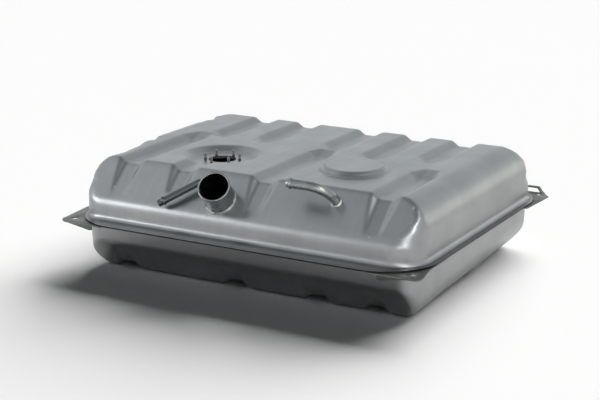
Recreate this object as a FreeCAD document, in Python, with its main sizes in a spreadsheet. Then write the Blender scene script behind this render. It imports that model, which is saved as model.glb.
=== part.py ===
import FreeCAD, Part
import math
import os
import Sketcher
from FreeCAD import Placement, Rotation, Vector

# Pressed-steel fuel tank, modelled at its real size in millimetres.
# Two stamped halves meet at a flat seam flange in the plane Z = 0.
# X runs along the long sides, Y runs from the filler side to the rear, Z is up.
# The origin is the middle of the four mounting holes, level with the seam.

DRIVING_SIZES = (
    # Sheet and seam flange
    ("sheet_gauge", 1.2),
    ("flange_end_width", 15.0),
    ("flange_side_width", 33.0),
    ("flange_corner", 66.0),
    ("foot_radius", 8.0),
    # Upper pressing
    ("upper_half_length", 315.0),
    ("upper_half_width", 258.0),
    ("upper_corner", 36.0),
    ("upper_rise", 98.0),
    ("upper_shoulder", 34.0),
    ("upper_slope_run", 60.0),
    ("upper_shoulder_round", 20.0),
    ("upper_ridge_round", 9.0),
    # Lower pressing
    ("lower_end_inset", 3.0),
    ("lower_side_inset", 3.0),
    ("lower_corner", 30.0),
    ("lower_depth", 92.0),
    ("lower_knee", 36.0),
    ("lower_slope_run", 38.0),
    ("lower_knee_round", 20.0),
    ("lower_ridge_round", 14.0),
    # Pressed channels
    ("channel_depth", 9.5),
    ("channel_floor", 25.0),
    ("channel_rim", 51.0),
    ("channel_rim_round", 9.0),
    ("channel_floor_round", 6.0),
    ("channel_fade", 8.0),
    ("channel_ramp", 20.0),
    ("cross_channel_floor", 36.0),
    ("cross_channel_rim", 70.0),
    ("cross_channel_place", 33.0),
    ("end_notch_floor", 18.0),
    ("end_notch_rim", 44.0),
    ("end_notch_depth", 7.0),
    ("end_notch_set_in", 13.5),
    # Sender seat
    ("sender_across", -130.0),
    ("sender_back", -93.0),
    ("dish_rim_radius", 66.0),
    ("dish_floor_radius", 52.0),
    ("sender_hole_radius", 24.0),
    ("sender_ring_radius", 38.0),
    ("sender_ring_thick", 3.0),
    ("stud_circle_radius", 30.0),
    ("stud_radius", 2.5),
    ("stud_shoulder", 0.6),
    ("stud_head_radius", 4.5),
    ("stud_head_thick", 2.0),
    ("stud_stand", 10.0),
    ("stud_clearance", 0.1),
    ("stud_turn", 22.5),
    # Raised disc
    ("dome_across", 121.0),
    ("dome_back", -80.0),
    ("dome_top_radius", 50.0),
    ("dome_rise", 8.0),
    ("dome_round", 5.0),
    # Filler neck
    ("neck_across", -46.0),
    ("neck_up_panel", 34.9),
    ("neck_tilt", 11.0),
    ("neck_radius", 25.4),
    ("neck_wall", 1.5),
    ("neck_length", 48.0),
    ("neck_inside", 26.0),
    ("neck_lip", 1.7),
    ("neck_lip_width", 5.0),
    ("collar_spread", 4.6),
    ("collar_rise", 4.0),
    ("hole_clearance", 0.2),
    # Curved vent tube
    ("vent_across", 158.0),
    ("vent_up_panel", 62.4),
    ("vent_radius", 8.0),
    ("vent_wall", 1.2),
    ("vent_stand", 6.0),
    ("vent_bend", 36.0),
    ("vent_run", 34.0),
    ("vent_inside", 10.0),
    # Straight breather tube
    ("breather_across", -82.0),
    ("breather_up_panel", 59.8),
    ("breather_radius", 6.0),
    ("breather_wall", 1.0),
    ("breather_stand", 2.0),
    ("breather_bend", 12.0),
    ("breather_run", 73.6),
    ("breather_swing", 40.0),
    ("tube_bead", 1.2),
    ("tube_bead_width", 3.0),
    ("tube_bead_setback", 6.0),
    ("tube_collar_spread", 3.4),
    ("tube_collar_rise", 2.6),
    # Corner brackets, measured inwards and outwards from the edge of the seam flange
    ("mount_end_inset", 10.0),
    ("mount_side_inset", 23.0),
    ("mount_hole_radius", 5.5),
    ("bracket_thick", 2.0),
    ("bracket_gap", 0.5),
    ("bracket_side_length", 126.0),
    ("bracket_front_length", 80.0),
    ("front_right_tip", 8.5),
    ("front_right_tip_round", 8.0),
    ("front_right_waist", 16.0),
    ("front_right_merge", 61.0),
    ("front_left_tip", 9.0),
    ("front_left_tip_round", 19.0),
    ("front_left_heel", 17.0),
    ("front_left_heel_back", 96.0),
    ("front_left_side_length", 110.0),
    ("front_lip_start", 62.0),
    ("front_lip_end", 12.0),
    ("front_lip_drop", 7.5),
    ("front_lip_slant", 5.0),
    ("rear_edge_start", 119.0),
    ("rear_edge_out", 4.0),
    ("rear_tip_out", 10.0),
    ("rear_tip_inset", 28.0),
    ("rear_tip_round", 4.0),
    ("rear_bevel_out", 1.0),
    ("rear_bevel_inset", 18.5),
    ("rear_chamfer_inset", 10.0),
    ("loop_end_inset", 36.0),
    ("loop_half_span", 26.0),
    ("loop_rise", 9.0),
    ("loop_width", 9.0),
    ("loop_slot_width", 9.0),
    # Baffles and swirl pot
    ("baffle_place", 75.0),
    ("baffle_gauge", 1.2),
    ("baffle_top", 55.0),
    ("baffle_top_inset", 34.0),
    ("baffle_side_inset", 13.0),
    ("baffle_knee_inset", 19.0),
    ("baffle_knee_drop", 46.0),
    ("baffle_knee_step", 12.0),
    ("baffle_floor_inset", 17.0),
    ("baffle_foot_width", 16.0),
    ("baffle_window_radius", 28.0),
    ("baffle_window_spacing", 105.0),
    ("baffle_window_drop", 16.0),
    ("baffle_notch_half", 46.0),
    ("baffle_notch_rise", 14.0),
    ("pot_radius", 44.0),
    ("pot_height", 36.0),
    ("pot_gauge", 1.0),
    ("pot_port_radius", 4.0),
    # Construction allowances
    ("overcut", 6.0),
    ("clear_height", 60.0),
)

STUD_COUNT = 6

doc = FreeCAD.newDocument("fuel_tank")


class Size:
    """A length, ratio or angle that knows its number and its sheet formula."""

    def __init__(self, value, formula):
        self.value = float(value)
        self.formula = formula

    def __add__(self, other):
        other = as_size(other)
        return Size(self.value + other.value, f"({self.formula} + {other.formula})")

    def __sub__(self, other):
        other = as_size(other)
        return Size(self.value - other.value, f"({self.formula} - {other.formula})")

    def __mul__(self, other):
        other = as_size(other)
        return Size(self.value * other.value, f"({self.formula} * {other.formula})")

    def __truediv__(self, other):
        other = as_size(other)
        return Size(self.value / other.value, f"({self.formula} / {other.formula})")

    def __neg__(self):
        return Size(-self.value, f"(0 - {self.formula})")


def as_size(item):
    """Turns a plain number into a Size and leaves a Size as it is."""
    return item if isinstance(item, Size) else Size(item, repr(float(item)))


def half_turn(rise, run):
    """Tangent of half the angle of a slope, which moves the corner of an offset line."""
    return Size(math.tan(0.5 * math.atan(rise.value / run.value)),
                f"tan(0.5 * atan({rise.formula} / {run.formula}))")


def stretch(rise, run):
    """Length of a slope for each millimetre of its run."""
    ratio = rise.value / run.value
    return Size(math.sqrt(1.0 + ratio ** 2), f"sqrt(1 + ({rise.formula} / {run.formula})^2)")


def make_sheet():
    """Writes the driving sizes into the spreadsheet and returns them by name."""
    sheet = doc.addObject("Spreadsheet::Sheet", "Sizes")
    for row, (alias, number) in enumerate(DRIVING_SIZES, start=1):
        sheet.set(f"A{row}", alias)
        sheet.set(f"B{row}", str(number))
        sheet.setAlias(f"B{row}", alias)
    doc.recompute()
    return {alias: Size(sheet.get(alias), f"Sizes.{alias}") for alias, _ in DRIVING_SIZES}


S = make_sheet()
GAUGE = S["sheet_gauge"]
NOTHING = as_size(0.0)

UPRIGHT_ACROSS = Rotation(Vector(1, 0, 0), 90)
UPRIGHT_ALONG = Rotation(Vector(1, 1, 1), 120)
FLAT = Rotation()

# Places on the pressings that follow their walls

UPPER_LENGTH = S["upper_half_length"]
UPPER_WIDTH = S["upper_half_width"]
LOWER_LENGTH = UPPER_LENGTH - S["lower_end_inset"]
LOWER_WIDTH = UPPER_WIDTH - S["lower_side_inset"]
UPPER_RIDGE = UPPER_WIDTH - S["upper_slope_run"]
LOWER_RIDGE = LOWER_WIDTH - S["lower_slope_run"]
FLANGE_END = UPPER_LENGTH + S["flange_end_width"]
FLANGE_SIDE = UPPER_WIDTH + S["flange_side_width"]

UPPER_FRONT_CHANNELS = (
    # name, place across, where the floor ends, counted from the front to the rear
    ("front_outer_left", -UPPER_LENGTH + 69.0, 8.0),
    ("front_sender", -137.0, -120.0),
    ("front_middle", 18.5, 4.0),
    ("front_outer_right", UPPER_LENGTH - 78.0, -48.0),
)
UPPER_REAR_CHANNELS = (
    # name, place across, where the floor starts
    ("rear_outer_left", -UPPER_LENGTH + 104.0, 54.0),
    ("rear_sender", -118.0, 48.0),
    ("rear_middle", 13.0, 62.0),
    ("rear_dome", 108.0, 24.0),
    ("rear_outer_right", UPPER_LENGTH - 113.0, 54.0),
)
LOWER_CHANNELS = (
    # name, place across
    ("keel_outer_left", -LOWER_LENGTH + 69.0),
    ("keel_inner_left", -26.0),
    ("keel_inner_right", 128.0),
    ("keel_outer_right", LOWER_LENGTH - 78.0),
)
END_NOTCHES = (("end_notch_front", -52.0), ("end_notch_rear", 145.0))
END_ROUNDS = {
    # place back, rounding of the left end, rounding of the right end
    "upper": ((-170.0, 50.0, 50.0), (-55.0, 20.0, 50.0), (20.0, 12.0, 50.0),
              (150.0, 9.0, 50.0), (200.0, 46.0, 50.0)),
    "lower": ((-210.0, 36.0, 65.0), (-159.0, 36.0, 61.0), (61.0, 36.0, 50.0),
              (186.0, 36.0, 40.0)),
}


# Helpers for sketches, prisms and booleans

def bind(item, prop, size):
    """Ties one property of an object to its sheet formula."""
    item.setExpression(prop, as_size(size).formula)


def place(item, across=NOTHING, back=NOTHING, up=NOTHING, turn=FLAT):
    """Sets an object's placement and ties its position to the sheet."""
    spots = [as_size(spot) for spot in (across, back, up)]
    item.Placement = Placement(Vector(*[spot.value for spot in spots]), turn)
    for axis, spot in zip("xyz", spots):
        if spot.formula != NOTHING.formula:
            bind(item, f"Placement.Base.{axis}", spot)
    return item


def corner_points(corners):
    """Start, end and centre of the rounding at each corner of an outline."""
    spots = [Vector(across.value, up.value, 0) for across, up, _ in corners]
    rounds = []
    for index, (_, _, radius) in enumerate(corners):
        here = spots[index]
        if radius is None:
            rounds.append((here, here, None))
            continue
        back = (spots[index - 1] - here).normalize()
        ahead = (spots[(index + 1) % len(spots)] - here).normalize()
        half = back.getAngle(ahead) / 2
        reach = radius.value / math.tan(half)
        middle = (back + ahead).normalize() * (radius.value / math.sin(half))
        rounds.append((here + back * reach, here + ahead * reach, here + middle))
    return spots, rounds


def outline(name, corners, turn=FLAT):
    """A closed sketch through corners, each (across, up, radius or None)."""
    corners = [(as_size(across), as_size(up), radius) for across, up, radius in corners]
    spots, rounds = corner_points(corners)
    sketch = doc.addObject("Sketcher::SketchObject", name)
    sketch.Placement = Placement(Vector(), turn)
    count = len(corners)
    lines = [sketch.addGeometry(Part.LineSegment(rounds[i][1], rounds[(i + 1) % count][0]), False)
             for i in range(count)]
    for index, (across, up, radius) in enumerate(corners):
        before, after = lines[index - 1], lines[index]
        if radius is None:
            sketch.addConstraint(Sketcher.Constraint("Coincident", before, 2, after, 1))
            fixed, spot = after, 1
        else:
            fixed, spot = round_corner(sketch, spots[index], rounds[index], before, after, radius), 1
        for kind, size in (("DistanceX", across), ("DistanceY", up)):
            number = sketch.addConstraint(
                Sketcher.Constraint(kind, -1, 1, fixed, spot, size.value))
            bind(sketch, f"Constraints[{number}]", size)
    return sketch


def round_corner(sketch, corner, rounding, before, after, radius):
    """Adds the arc of one rounded corner and returns the point that fixes the corner."""
    start, end, centre = rounding
    point = sketch.addGeometry(Part.Point(corner), True)
    leftward = (corner - start).cross(end - corner).z > 0
    first, last = (start, end) if leftward else (end, start)
    angles = [math.atan2((spot - centre).y, (spot - centre).x) for spot in (first, last)]
    circle = Part.Circle(centre, Vector(0, 0, 1), radius.value)
    arc = sketch.addGeometry(Part.ArcOfCircle(circle, *angles), False)
    entry, leave = (1, 2) if leftward else (2, 1)
    sketch.addConstraint(Sketcher.Constraint("PointOnObject", point, 1, before))
    sketch.addConstraint(Sketcher.Constraint("PointOnObject", point, 1, after))
    sketch.addConstraint(Sketcher.Constraint("Tangent", before, 2, arc, entry))
    sketch.addConstraint(Sketcher.Constraint("Tangent", arc, leave, after, 1))
    number = sketch.addConstraint(Sketcher.Constraint("Radius", arc, radius.value))
    bind(sketch, f"Constraints[{number}]", radius)
    return point


def prism(name, sketch, length, both_ways=True):
    """Extrudes a sketch along its own normal."""
    solid = doc.addObject("Part::Extrusion", name)
    solid.Base = sketch
    solid.DirMode = "Normal"
    solid.Solid = True
    solid.Symmetric = both_ways
    bind(solid, "LengthFwd", length)
    return solid


def turned(name, corners):
    """Revolves an outline of (radius, height) corners about the Z axis."""
    solid = doc.addObject("Part::Revolution", name)
    solid.Source = outline(name + "_outline", corners, UPRIGHT_ACROSS)
    solid.Axis = Vector(0, 0, 1)
    solid.Angle = 360
    solid.Solid = True
    return solid


def rod(name, radius, length):
    """A plain cylinder that stands on the XY plane until it is placed."""
    solid = doc.addObject("Part::Cylinder", name)
    bind(solid, "Radius", radius)
    bind(solid, "Height", length)
    return solid


def block(name, length, width, height):
    """A plain box with one corner at the origin until it is placed."""
    solid = doc.addObject("Part::Box", name)
    for prop, size in (("Length", length), ("Width", width), ("Height", height)):
        bind(solid, prop, size)
    return solid


def fuse(name, *shapes, refine=True):
    """Joins shapes into one solid."""
    result = doc.addObject("Part::MultiFuse", name)
    result.Shapes = list(shapes)
    result.Refine = refine
    return result


def cut(name, base, *tools):
    """Takes one or more tools away from a base."""
    tool = tools[0] if len(tools) == 1 else fuse(name + "_tools", *tools)
    result = doc.addObject("Part::Cut", name)
    result.Base = base
    result.Tool = tool
    result.Refine = False
    return result


def common(name, *shapes, refine=True):
    """Keeps what all the shapes share."""
    result = doc.addObject("Part::MultiCommon", name)
    result.Shapes = list(shapes)
    result.Refine = refine
    return result


def rounded(name, base, radius, wanted):
    """Rounds the edges of a base that the given test picks."""
    doc.recompute()
    result = doc.addObject("Part::Fillet", name)
    result.Base = base
    result.Edges = [(number, radius.value, radius.value)
                    for number, edge in enumerate(base.Shape.Edges, start=1)
                    if wanted(base.Shape, edge)]
    return result


# The two pressings

def pressing_sizes(side):
    """The sizes of one pressing, by the names that both pressings share."""
    upper = side == "upper"
    return {
        "length": UPPER_LENGTH if upper else LOWER_LENGTH,
        "width": UPPER_WIDTH if upper else LOWER_WIDTH,
        "corner": S[f"{side}_corner"],
        "height": S["upper_rise"] if upper else S["lower_depth"],
        "shoulder": S["upper_shoulder"] if upper else S["lower_knee"],
        "ridge": UPPER_RIDGE if upper else LOWER_RIDGE,
        "end_rounds": END_ROUNDS[side],
        "shoulder_round": S["upper_shoulder_round"] if upper else S["lower_knee_round"],
        "ridge_round": S[f"{side}_ridge_round"],
    }


def end_loft(name, sizes, inset, below):
    """The form of a pressing seen from the front, whose end roundings change on the way back."""
    length, height = sizes["length"] - inset, sizes["height"] - inset
    reach = sizes["width"] + S["overcut"]
    first, last = sizes["end_rounds"][0], sizes["end_rounds"][-1]
    rows = [(-reach, *first[1:]), *sizes["end_rounds"], (reach, *last[1:])]
    sections = []
    for number, (back, left, right) in enumerate(rows):
        section = outline(f"{name}_{number}", [
            (-length, -below, None), (length, -below, None),
            (length, height, as_size(right) - inset), (-length, height, as_size(left) - inset)],
            UPRIGHT_ACROSS)
        sections.append(place(section, NOTHING, back, NOTHING, UPRIGHT_ACROSS))
    loft = doc.addObject("Part::Loft", name)
    loft.Sections = sections
    loft.Ruled = True
    loft.Solid = True
    return loft


def pressed_form(name, sizes, inset, below):
    """The plain form of a pressing, where two rounded prisms and a loft overlap."""
    rise = sizes["height"] - sizes["shoulder"]
    run = sizes["width"] - sizes["ridge"]
    length = sizes["length"] - inset
    width = sizes["width"] - inset
    height = sizes["height"] - inset
    shoulder = sizes["shoulder"] - inset * half_turn(run, rise)
    ridge = sizes["ridge"] - inset * half_turn(rise, run)
    shoulder_round = sizes["shoulder_round"] - inset
    ridge_round = sizes["ridge_round"] - inset
    corner = sizes["corner"] - inset
    along = outline(name + "_side_profile", [
        (-width, -below, None), (width, -below, None), (width, shoulder, shoulder_round),
        (ridge, height, ridge_round), (-ridge, height, ridge_round),
        (-width, shoulder, shoulder_round)], UPRIGHT_ALONG)
    plan = outline(name + "_plan", [
        (-length, -width, corner), (length, -width, corner), (length, width, corner),
        (-length, width, corner)])
    reach = S["overcut"] * 2
    walls = common(name + "_walls", prism(name + "_side_prism", along, length * 2 + reach),
                   prism(name + "_plan_prism", plan, height * 2 + reach))
    return common(name, walls, end_loft(name + "_end_loft", sizes, inset, below), refine=False)


def bend(size, inset):
    """Rounding of a pressed bend, left sharp on the hidden inner face of the sheet."""
    return S[size] if inset is NOTHING else None


def channel_profile(name, floor, rim, depth, inset, turn):
    """Cross-section of a pressed channel, open towards the outside."""
    floor_bend, rim_bend = bend("channel_floor_round", inset), bend("channel_rim_round", inset)
    flare = inset * half_turn(depth, (rim - floor) / 2)
    floor_half = floor / 2 + flare
    rim_half = rim / 2 + flare
    wing = rim_half + S["overcut"] * 2
    wing_rise = depth + S["overcut"] / 4
    return outline(name, [
        (-floor_half, 0.0, floor_bend), (floor_half, 0.0, floor_bend),
        (rim_half, depth, rim_bend), (wing, wing_rise, None),
        (wing, S["clear_height"], None), (-wing, S["clear_height"], None),
        (-wing, wing_rise, None), (-rim_half, depth, rim_bend)], turn)


def channel(name, profile, stations):
    """A channel cutter, lofted straight between stations of (across, back, up)."""
    sections = []
    for number, (across, back, up) in enumerate(stations):
        section = doc.addObject("App::Link", f"{name}_station_{number}")
        section.LinkedObject = profile
        section.LinkTransform = False
        sections.append(place(section, across, back, up, profile.Placement.Rotation))
    cutter = doc.addObject("Part::Loft", name)
    cutter.Sections = sections
    cutter.Ruled = True
    cutter.Solid = True
    return cutter


def fade_stations(sizes, inset):
    """Where a channel's floor leaves the sloping panel and where it bends at the ridge."""
    run = sizes["width"] - sizes["ridge"]
    rise = sizes["height"] - sizes["shoulder"]
    floor = sizes["height"] - S["channel_depth"]
    fade_back = sizes["width"] - S["channel_fade"]
    fade_up = sizes["shoulder"] + S["channel_fade"] * rise / run
    drop = floor - fade_up
    reach = fade_back - sizes["ridge"]
    fade = (fade_back, fade_up - inset * stretch(drop, reach))
    turn = (sizes["ridge"] - inset * half_turn(drop, reach), floor - inset)
    return fade, turn


def upper_channels(name, inset):
    """The channels of the upper pressing, which run front to rear with ramped ends."""
    sizes = pressing_sizes("upper")
    profile = channel_profile(name + "_profile", S["channel_floor"], S["channel_rim"],
                              S["channel_depth"], inset, UPRIGHT_ACROSS)
    fade, turn = fade_stations(sizes, inset)
    top = turn[1] + S["channel_depth"] + S["overcut"] / 4
    cutters = []
    for side, rows in ((-1.0, UPPER_FRONT_CHANNELS), (1.0, UPPER_REAR_CHANNELS)):
        for label, across, floor_end in rows:
            cutters.append(channel(f"{name}_{label}", profile, [
                (across, fade[0] * side, fade[1]), (across, turn[0] * side, turn[1]),
                (across, floor_end, turn[1]), (across, S["channel_ramp"] * -side + floor_end, top)]))
    return cutters


def lower_channels(name, inset):
    """The channels of the lower pressing, drawn upright before it is turned over."""
    sizes = pressing_sizes("lower")
    profile = channel_profile(name + "_profile", S["channel_floor"], S["channel_rim"],
                              S["channel_depth"], inset, UPRIGHT_ACROSS)
    fade, turn = fade_stations(sizes, inset)
    cutters = [channel(f"{name}_{label}", profile, [
        (across, -fade[0], fade[1]), (across, -turn[0], turn[1]),
        (across, turn[0], turn[1]), (across, fade[0], fade[1])])
        for label, across in LOWER_CHANNELS]
    cross = channel_profile(name + "_cross_profile", S["cross_channel_floor"],
                            S["cross_channel_rim"], S["channel_depth"], inset, UPRIGHT_ALONG)
    reach = sizes["length"] + S["overcut"]
    back = -S["cross_channel_place"]
    cutters.append(channel(name + "_cross", cross,
                           [(-reach, back, turn[1]), (reach, back, turn[1])]))
    return cutters


def end_notches(name, inset):
    """Notches pressed across the round left end of the upper half."""
    sizes = pressing_sizes("upper")
    profile = channel_profile(name + "_profile", S["end_notch_floor"], S["end_notch_rim"],
                              S["end_notch_depth"], inset, UPRIGHT_ALONG)
    # The notch floor is a chord at 45 degrees, set in from the corner of the end and the top
    chord = (S["end_notch_set_in"] + inset) * math.sqrt(2.0)
    start = -(sizes["length"] + S["overcut"])
    foot = sizes["height"] - chord - S["overcut"]
    climb = chord + S["overcut"] * 3
    return [channel(f"{name}_{label}", profile,
                    [(start, back, foot), (start + climb, back, foot + climb)])
            for label, back in END_NOTCHES]


def sender_dish(name, inset):
    """The round dish that seats the sender, as a cutter."""
    depth = S["channel_depth"]
    flare = inset * half_turn(depth, S["dish_rim_radius"] - S["dish_floor_radius"])
    rim = S["dish_rim_radius"] + flare
    floor = S["dish_floor_radius"] + flare
    wing = rim + S["overcut"] * 2
    cutter = turned(name, [
        (0.0, 0.0, None), (floor, 0.0, bend("channel_floor_round", inset)),
        (rim, depth, bend("channel_rim_round", inset)), (wing, depth + S["overcut"] / 4, None),
        (wing, S["clear_height"], None), (0.0, S["clear_height"], None)])
    return place(cutter, S["sender_across"], S["sender_back"], S["upper_rise"] - depth - inset)


def dome(name, inset):
    """The raised disc on the top, which spreads at 45 degrees into the pad."""
    slant = inset * math.tan(math.radians(22.5))
    rise = S["dome_rise"] - inset
    top = S["dome_top_radius"] - slant
    disc = turned(name, [
        (0.0, -S["overcut"], None), (top + rise + S["overcut"], -S["overcut"], None),
        (top, rise, bend("dome_round", inset)), (0.0, rise, None)])
    return place(disc, S["dome_across"], S["dome_back"], S["upper_rise"])


def seam_flange(name):
    """The flat flange of a pressing, above the seam plane."""
    corner = S["flange_corner"]
    plan = outline(name + "_plan", [
        (-FLANGE_END, -FLANGE_SIDE, corner), (FLANGE_END, -FLANGE_SIDE, corner),
        (FLANGE_END, FLANGE_SIDE, corner), (-FLANGE_END, FLANGE_SIDE, corner)])
    return prism(name, plan, GAUGE, both_ways=False)


def footed(name, side, outside):
    """Joins a form to its flange and rounds the foot of the wall."""
    sizes = pressing_sizes(side)
    joined = fuse(name + "_joined", outside, seam_flange(name + "_flange"), refine=False)

    def is_foot(_, edge):
        box = edge.BoundBox
        level = abs(box.ZMin - GAUGE.value) < 0.01 and abs(box.ZMax - GAUGE.value) < 0.01
        inside = max(abs(box.XMin), abs(box.XMax)) < sizes["length"].value + 0.5
        return level and inside and max(abs(box.YMin), abs(box.YMax)) < sizes["width"].value + 0.5

    return rounded(name + "_footed", joined, S["foot_radius"], is_foot)


# Frames on the sloping front panel

PANEL_RISE = S["upper_rise"] - S["upper_shoulder"]
PANEL_RUN = S["upper_slope_run"]
PANEL_SLOPE = math.degrees(math.atan(PANEL_RISE.value / PANEL_RUN.value))
PANEL_TURN = Rotation(Vector(1, 0, 0), PANEL_SLOPE)


def on_panel(item, across, up_panel, local=FLAT):
    """Stands an object on the front panel, up_panel along the slope from the shoulder."""
    slope = stretch(PANEL_RISE, PANEL_RUN)
    run = up_panel / slope
    back = -UPPER_WIDTH + run
    up = S["upper_shoulder"] + run * PANEL_RISE / PANEL_RUN
    return place(item, across, back, up, PANEL_TURN.multiply(local))


NECK_TILT = Rotation(Vector(0, 1, 0), S["neck_tilt"].value)
NECK_SPOT = (S["neck_across"], S["neck_up_panel"])
VENT_SPOT = (S["vent_across"], S["vent_up_panel"])
BREATHER_SPOT = (S["breather_across"], S["breather_up_panel"])


def panel_hole(name, spot, radius, local=FLAT):
    """A cutter for a tube's hole, square to the tube."""
    reach = S["overcut"] * 4
    drill = rod(name, radius + S["hole_clearance"], reach * 2)
    moved = Placement(PANEL_TURN.multiply(local).multVec(Vector(0, 0, -reach.value)), FLAT)
    on_panel(drill, *spot, local)
    carrier = doc.addObject("Part::Compound", name + "_placed")
    carrier.Links = [drill]
    carrier.Placement = moved
    return carrier


def stud_spots():
    """Where the six sender studs stand, round the sender's centre."""
    spots = []
    for number in range(STUD_COUNT):
        turn = math.radians(S["stud_turn"].value + 360.0 / STUD_COUNT * number)
        radius = S["stud_circle_radius"]
        spots.append((S["sender_across"] + radius * math.cos(turn),
                      S["sender_back"] + radius * math.sin(turn)))
    return spots


def stud_holes(name, bottom, height):
    """Six clearance holes for the shoulders of the studs."""
    radius = S["stud_radius"] + S["stud_shoulder"] + S["stud_clearance"]
    return [place(rod(f"{name}_{number}", radius, height), across, back, bottom)
            for number, (across, back) in enumerate(stud_spots())]


# Sub-parts

def make_upper_shell():
    """The upper pressing with its channels, dish, raised disc and openings."""
    sizes = pressing_sizes("upper")
    plain = pressed_form("upper_form", sizes, NOTHING, NOTHING)
    outside = fuse("upper_outside", footed("upper", "upper", plain), dome("upper_dome", NOTHING),
                   refine=False)
    inside = fuse("upper_inside", pressed_form("upper_void", sizes, GAUGE, S["overcut"]),
                  dome("upper_dome_void", GAUGE), refine=False)
    pressed = cut("upper_pressed", outside, *upper_channels("upper_channel", NOTHING),
                  *end_notches("upper_notch", NOTHING), sender_dish("upper_dish", NOTHING))
    void = cut("upper_hollow", inside, *upper_channels("void_channel", GAUGE),
               *end_notches("void_notch", GAUGE), sender_dish("void_dish", GAUGE))
    floor = S["upper_rise"] - S["channel_depth"] - GAUGE * 2
    openings = [
        place(rod("sender_opening", S["sender_hole_radius"], GAUGE * 4),
              S["sender_across"], S["sender_back"], floor),
        *stud_holes("shell_stud_hole", floor, GAUGE * 4),
        panel_hole("neck_hole", NECK_SPOT, S["neck_radius"], NECK_TILT),
        panel_hole("vent_hole", VENT_SPOT, S["vent_radius"]),
        panel_hole("breather_hole", BREATHER_SPOT, S["breather_radius"])]
    return pressed, cut("upper_shell", pressed, void, *openings)


def make_lower_shell():
    """The lower pressing, drawn upright and then turned over about the X axis."""
    sizes = pressing_sizes("lower")
    plain = pressed_form("lower_form", sizes, NOTHING, NOTHING)
    pressed = cut("lower_pressed", footed("lower", "lower", plain),
                  *lower_channels("lower_channel", NOTHING))
    void = cut("lower_hollow", pressed_form("lower_void", sizes, GAUGE, S["overcut"]),
               *lower_channels("lower_void_channel", GAUGE))
    return place(cut("lower_shell", pressed, void), turn=Rotation(Vector(1, 0, 0), 180))


def make_filler_neck():
    """The filler neck, a tube with a rolled mouth."""
    outer = S["neck_radius"]
    inner = outer - S["neck_wall"]
    lip = outer + S["neck_lip"]
    top = S["neck_length"]
    edge = S["neck_lip"] * 0.5
    lip_foot = top - S["neck_lip_width"]
    neck = turned("filler_neck", [
        (inner, -S["neck_inside"], None), (outer, -S["neck_inside"], None),
        (outer, lip_foot - S["neck_lip"], None), (lip, lip_foot, None),
        (lip, top - edge, None), (lip - edge, top, None),
        (inner + edge, top, None), (inner, top - edge, None)])
    return on_panel(neck, *NECK_SPOT, NECK_TILT)


def make_collar(name, spot, radius, spread, rise, local=FLAT):
    """The brazed ring round the foot of a tube, seated on the panel."""
    cone = doc.addObject("Part::Cone", name + "_cone")
    bind(cone, "Radius1", radius + spread)
    bind(cone, "Radius2", radius + spread / 3)
    bind(cone, "Height", rise)
    on_panel(cone, *spot)
    return cut(name, cone, panel_hole(name + "_bore", spot, radius - S["hole_clearance"], local))


def tube_path(name, stand, bend, run, inside):
    """The centre line of a bent tube: up, round a quarter turn and away."""
    sketch = doc.addObject("Sketcher::SketchObject", name)
    sketch.Placement = Placement(Vector(), UPRIGHT_ACROSS)
    low, knee = Vector(0, -inside.value, 0), Vector(0, stand.value, 0)
    centre = Vector(bend.value, stand.value, 0)
    over = Vector(bend.value, stand.value + bend.value, 0)
    end = Vector(bend.value + run.value, over.y, 0)
    sketch.addGeometry(Part.LineSegment(low, knee), False)
    circle = Part.Circle(centre, Vector(0, 0, 1), bend.value)
    sketch.addGeometry(Part.ArcOfCircle(circle, math.pi / 2, math.pi), False)
    sketch.addGeometry(Part.LineSegment(over, end), False)
    sketch.addConstraint(Sketcher.Constraint("Tangent", 0, 2, 1, 2))
    sketch.addConstraint(Sketcher.Constraint("Tangent", 1, 1, 2, 1))
    for kind, first, size in (("DistanceX", (0, 1), NOTHING), ("DistanceY", (0, 1), -inside),
                              ("DistanceX", (0, 2), NOTHING), ("DistanceY", (0, 2), stand),
                              ("DistanceX", (2, 2), bend + run), ("DistanceY", (2, 2), stand + bend)):
        number = sketch.addConstraint(Sketcher.Constraint(kind, -1, 1, *first, size.value))
        bind(sketch, f"Constraints[{number}]", size)
    return sketch


def swept(name, path, radius, start):
    """Sweeps a round section along a path from its lower end."""
    circle = doc.addObject("Part::Circle", name + "_section")
    bind(circle, "Radius", radius)
    place(circle, up=start)
    tube = doc.addObject("Part::Sweep", name)
    tube.Sections = [circle]
    tube.Spine = (path, ["Edge1", "Edge2", "Edge3"])
    tube.Solid = True
    tube.Frenet = False
    return tube


def make_bent_tube(name, spot, kind, local):
    """A bent tube with a hose bead, seated in the front panel."""
    stand, bend, run = S[f"{kind}_stand"], S[f"{kind}_bend"], S[f"{kind}_run"]
    inside, radius, wall = S["vent_inside"], S[f"{kind}_radius"], S[f"{kind}_wall"]
    path = tube_path(name + "_path", stand, bend, run, inside)
    outside = swept(name + "_outside", path, radius, -inside)
    bead_start = bend + run - S["tube_bead_setback"] - S["tube_bead_width"]
    half = S["tube_bead_width"] / 2
    bead = turned(name + "_bead", [
        (0.0, 0.0, None), (radius, 0.0, None), (radius + S["tube_bead"], half * 0.6, None),
        (radius + S["tube_bead"], half * 1.4, None), (radius, half * 2, None), (0.0, half * 2, None)])
    place(bead, bead_start, NOTHING, stand + bend, Rotation(Vector(0, 1, 0), 90))
    bore = swept(name + "_bore", path, radius - wall, -inside)
    tube = cut(name, fuse(name + "_beaded", outside, bead), bore)
    return on_panel(tube, *spot, local)


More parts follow.
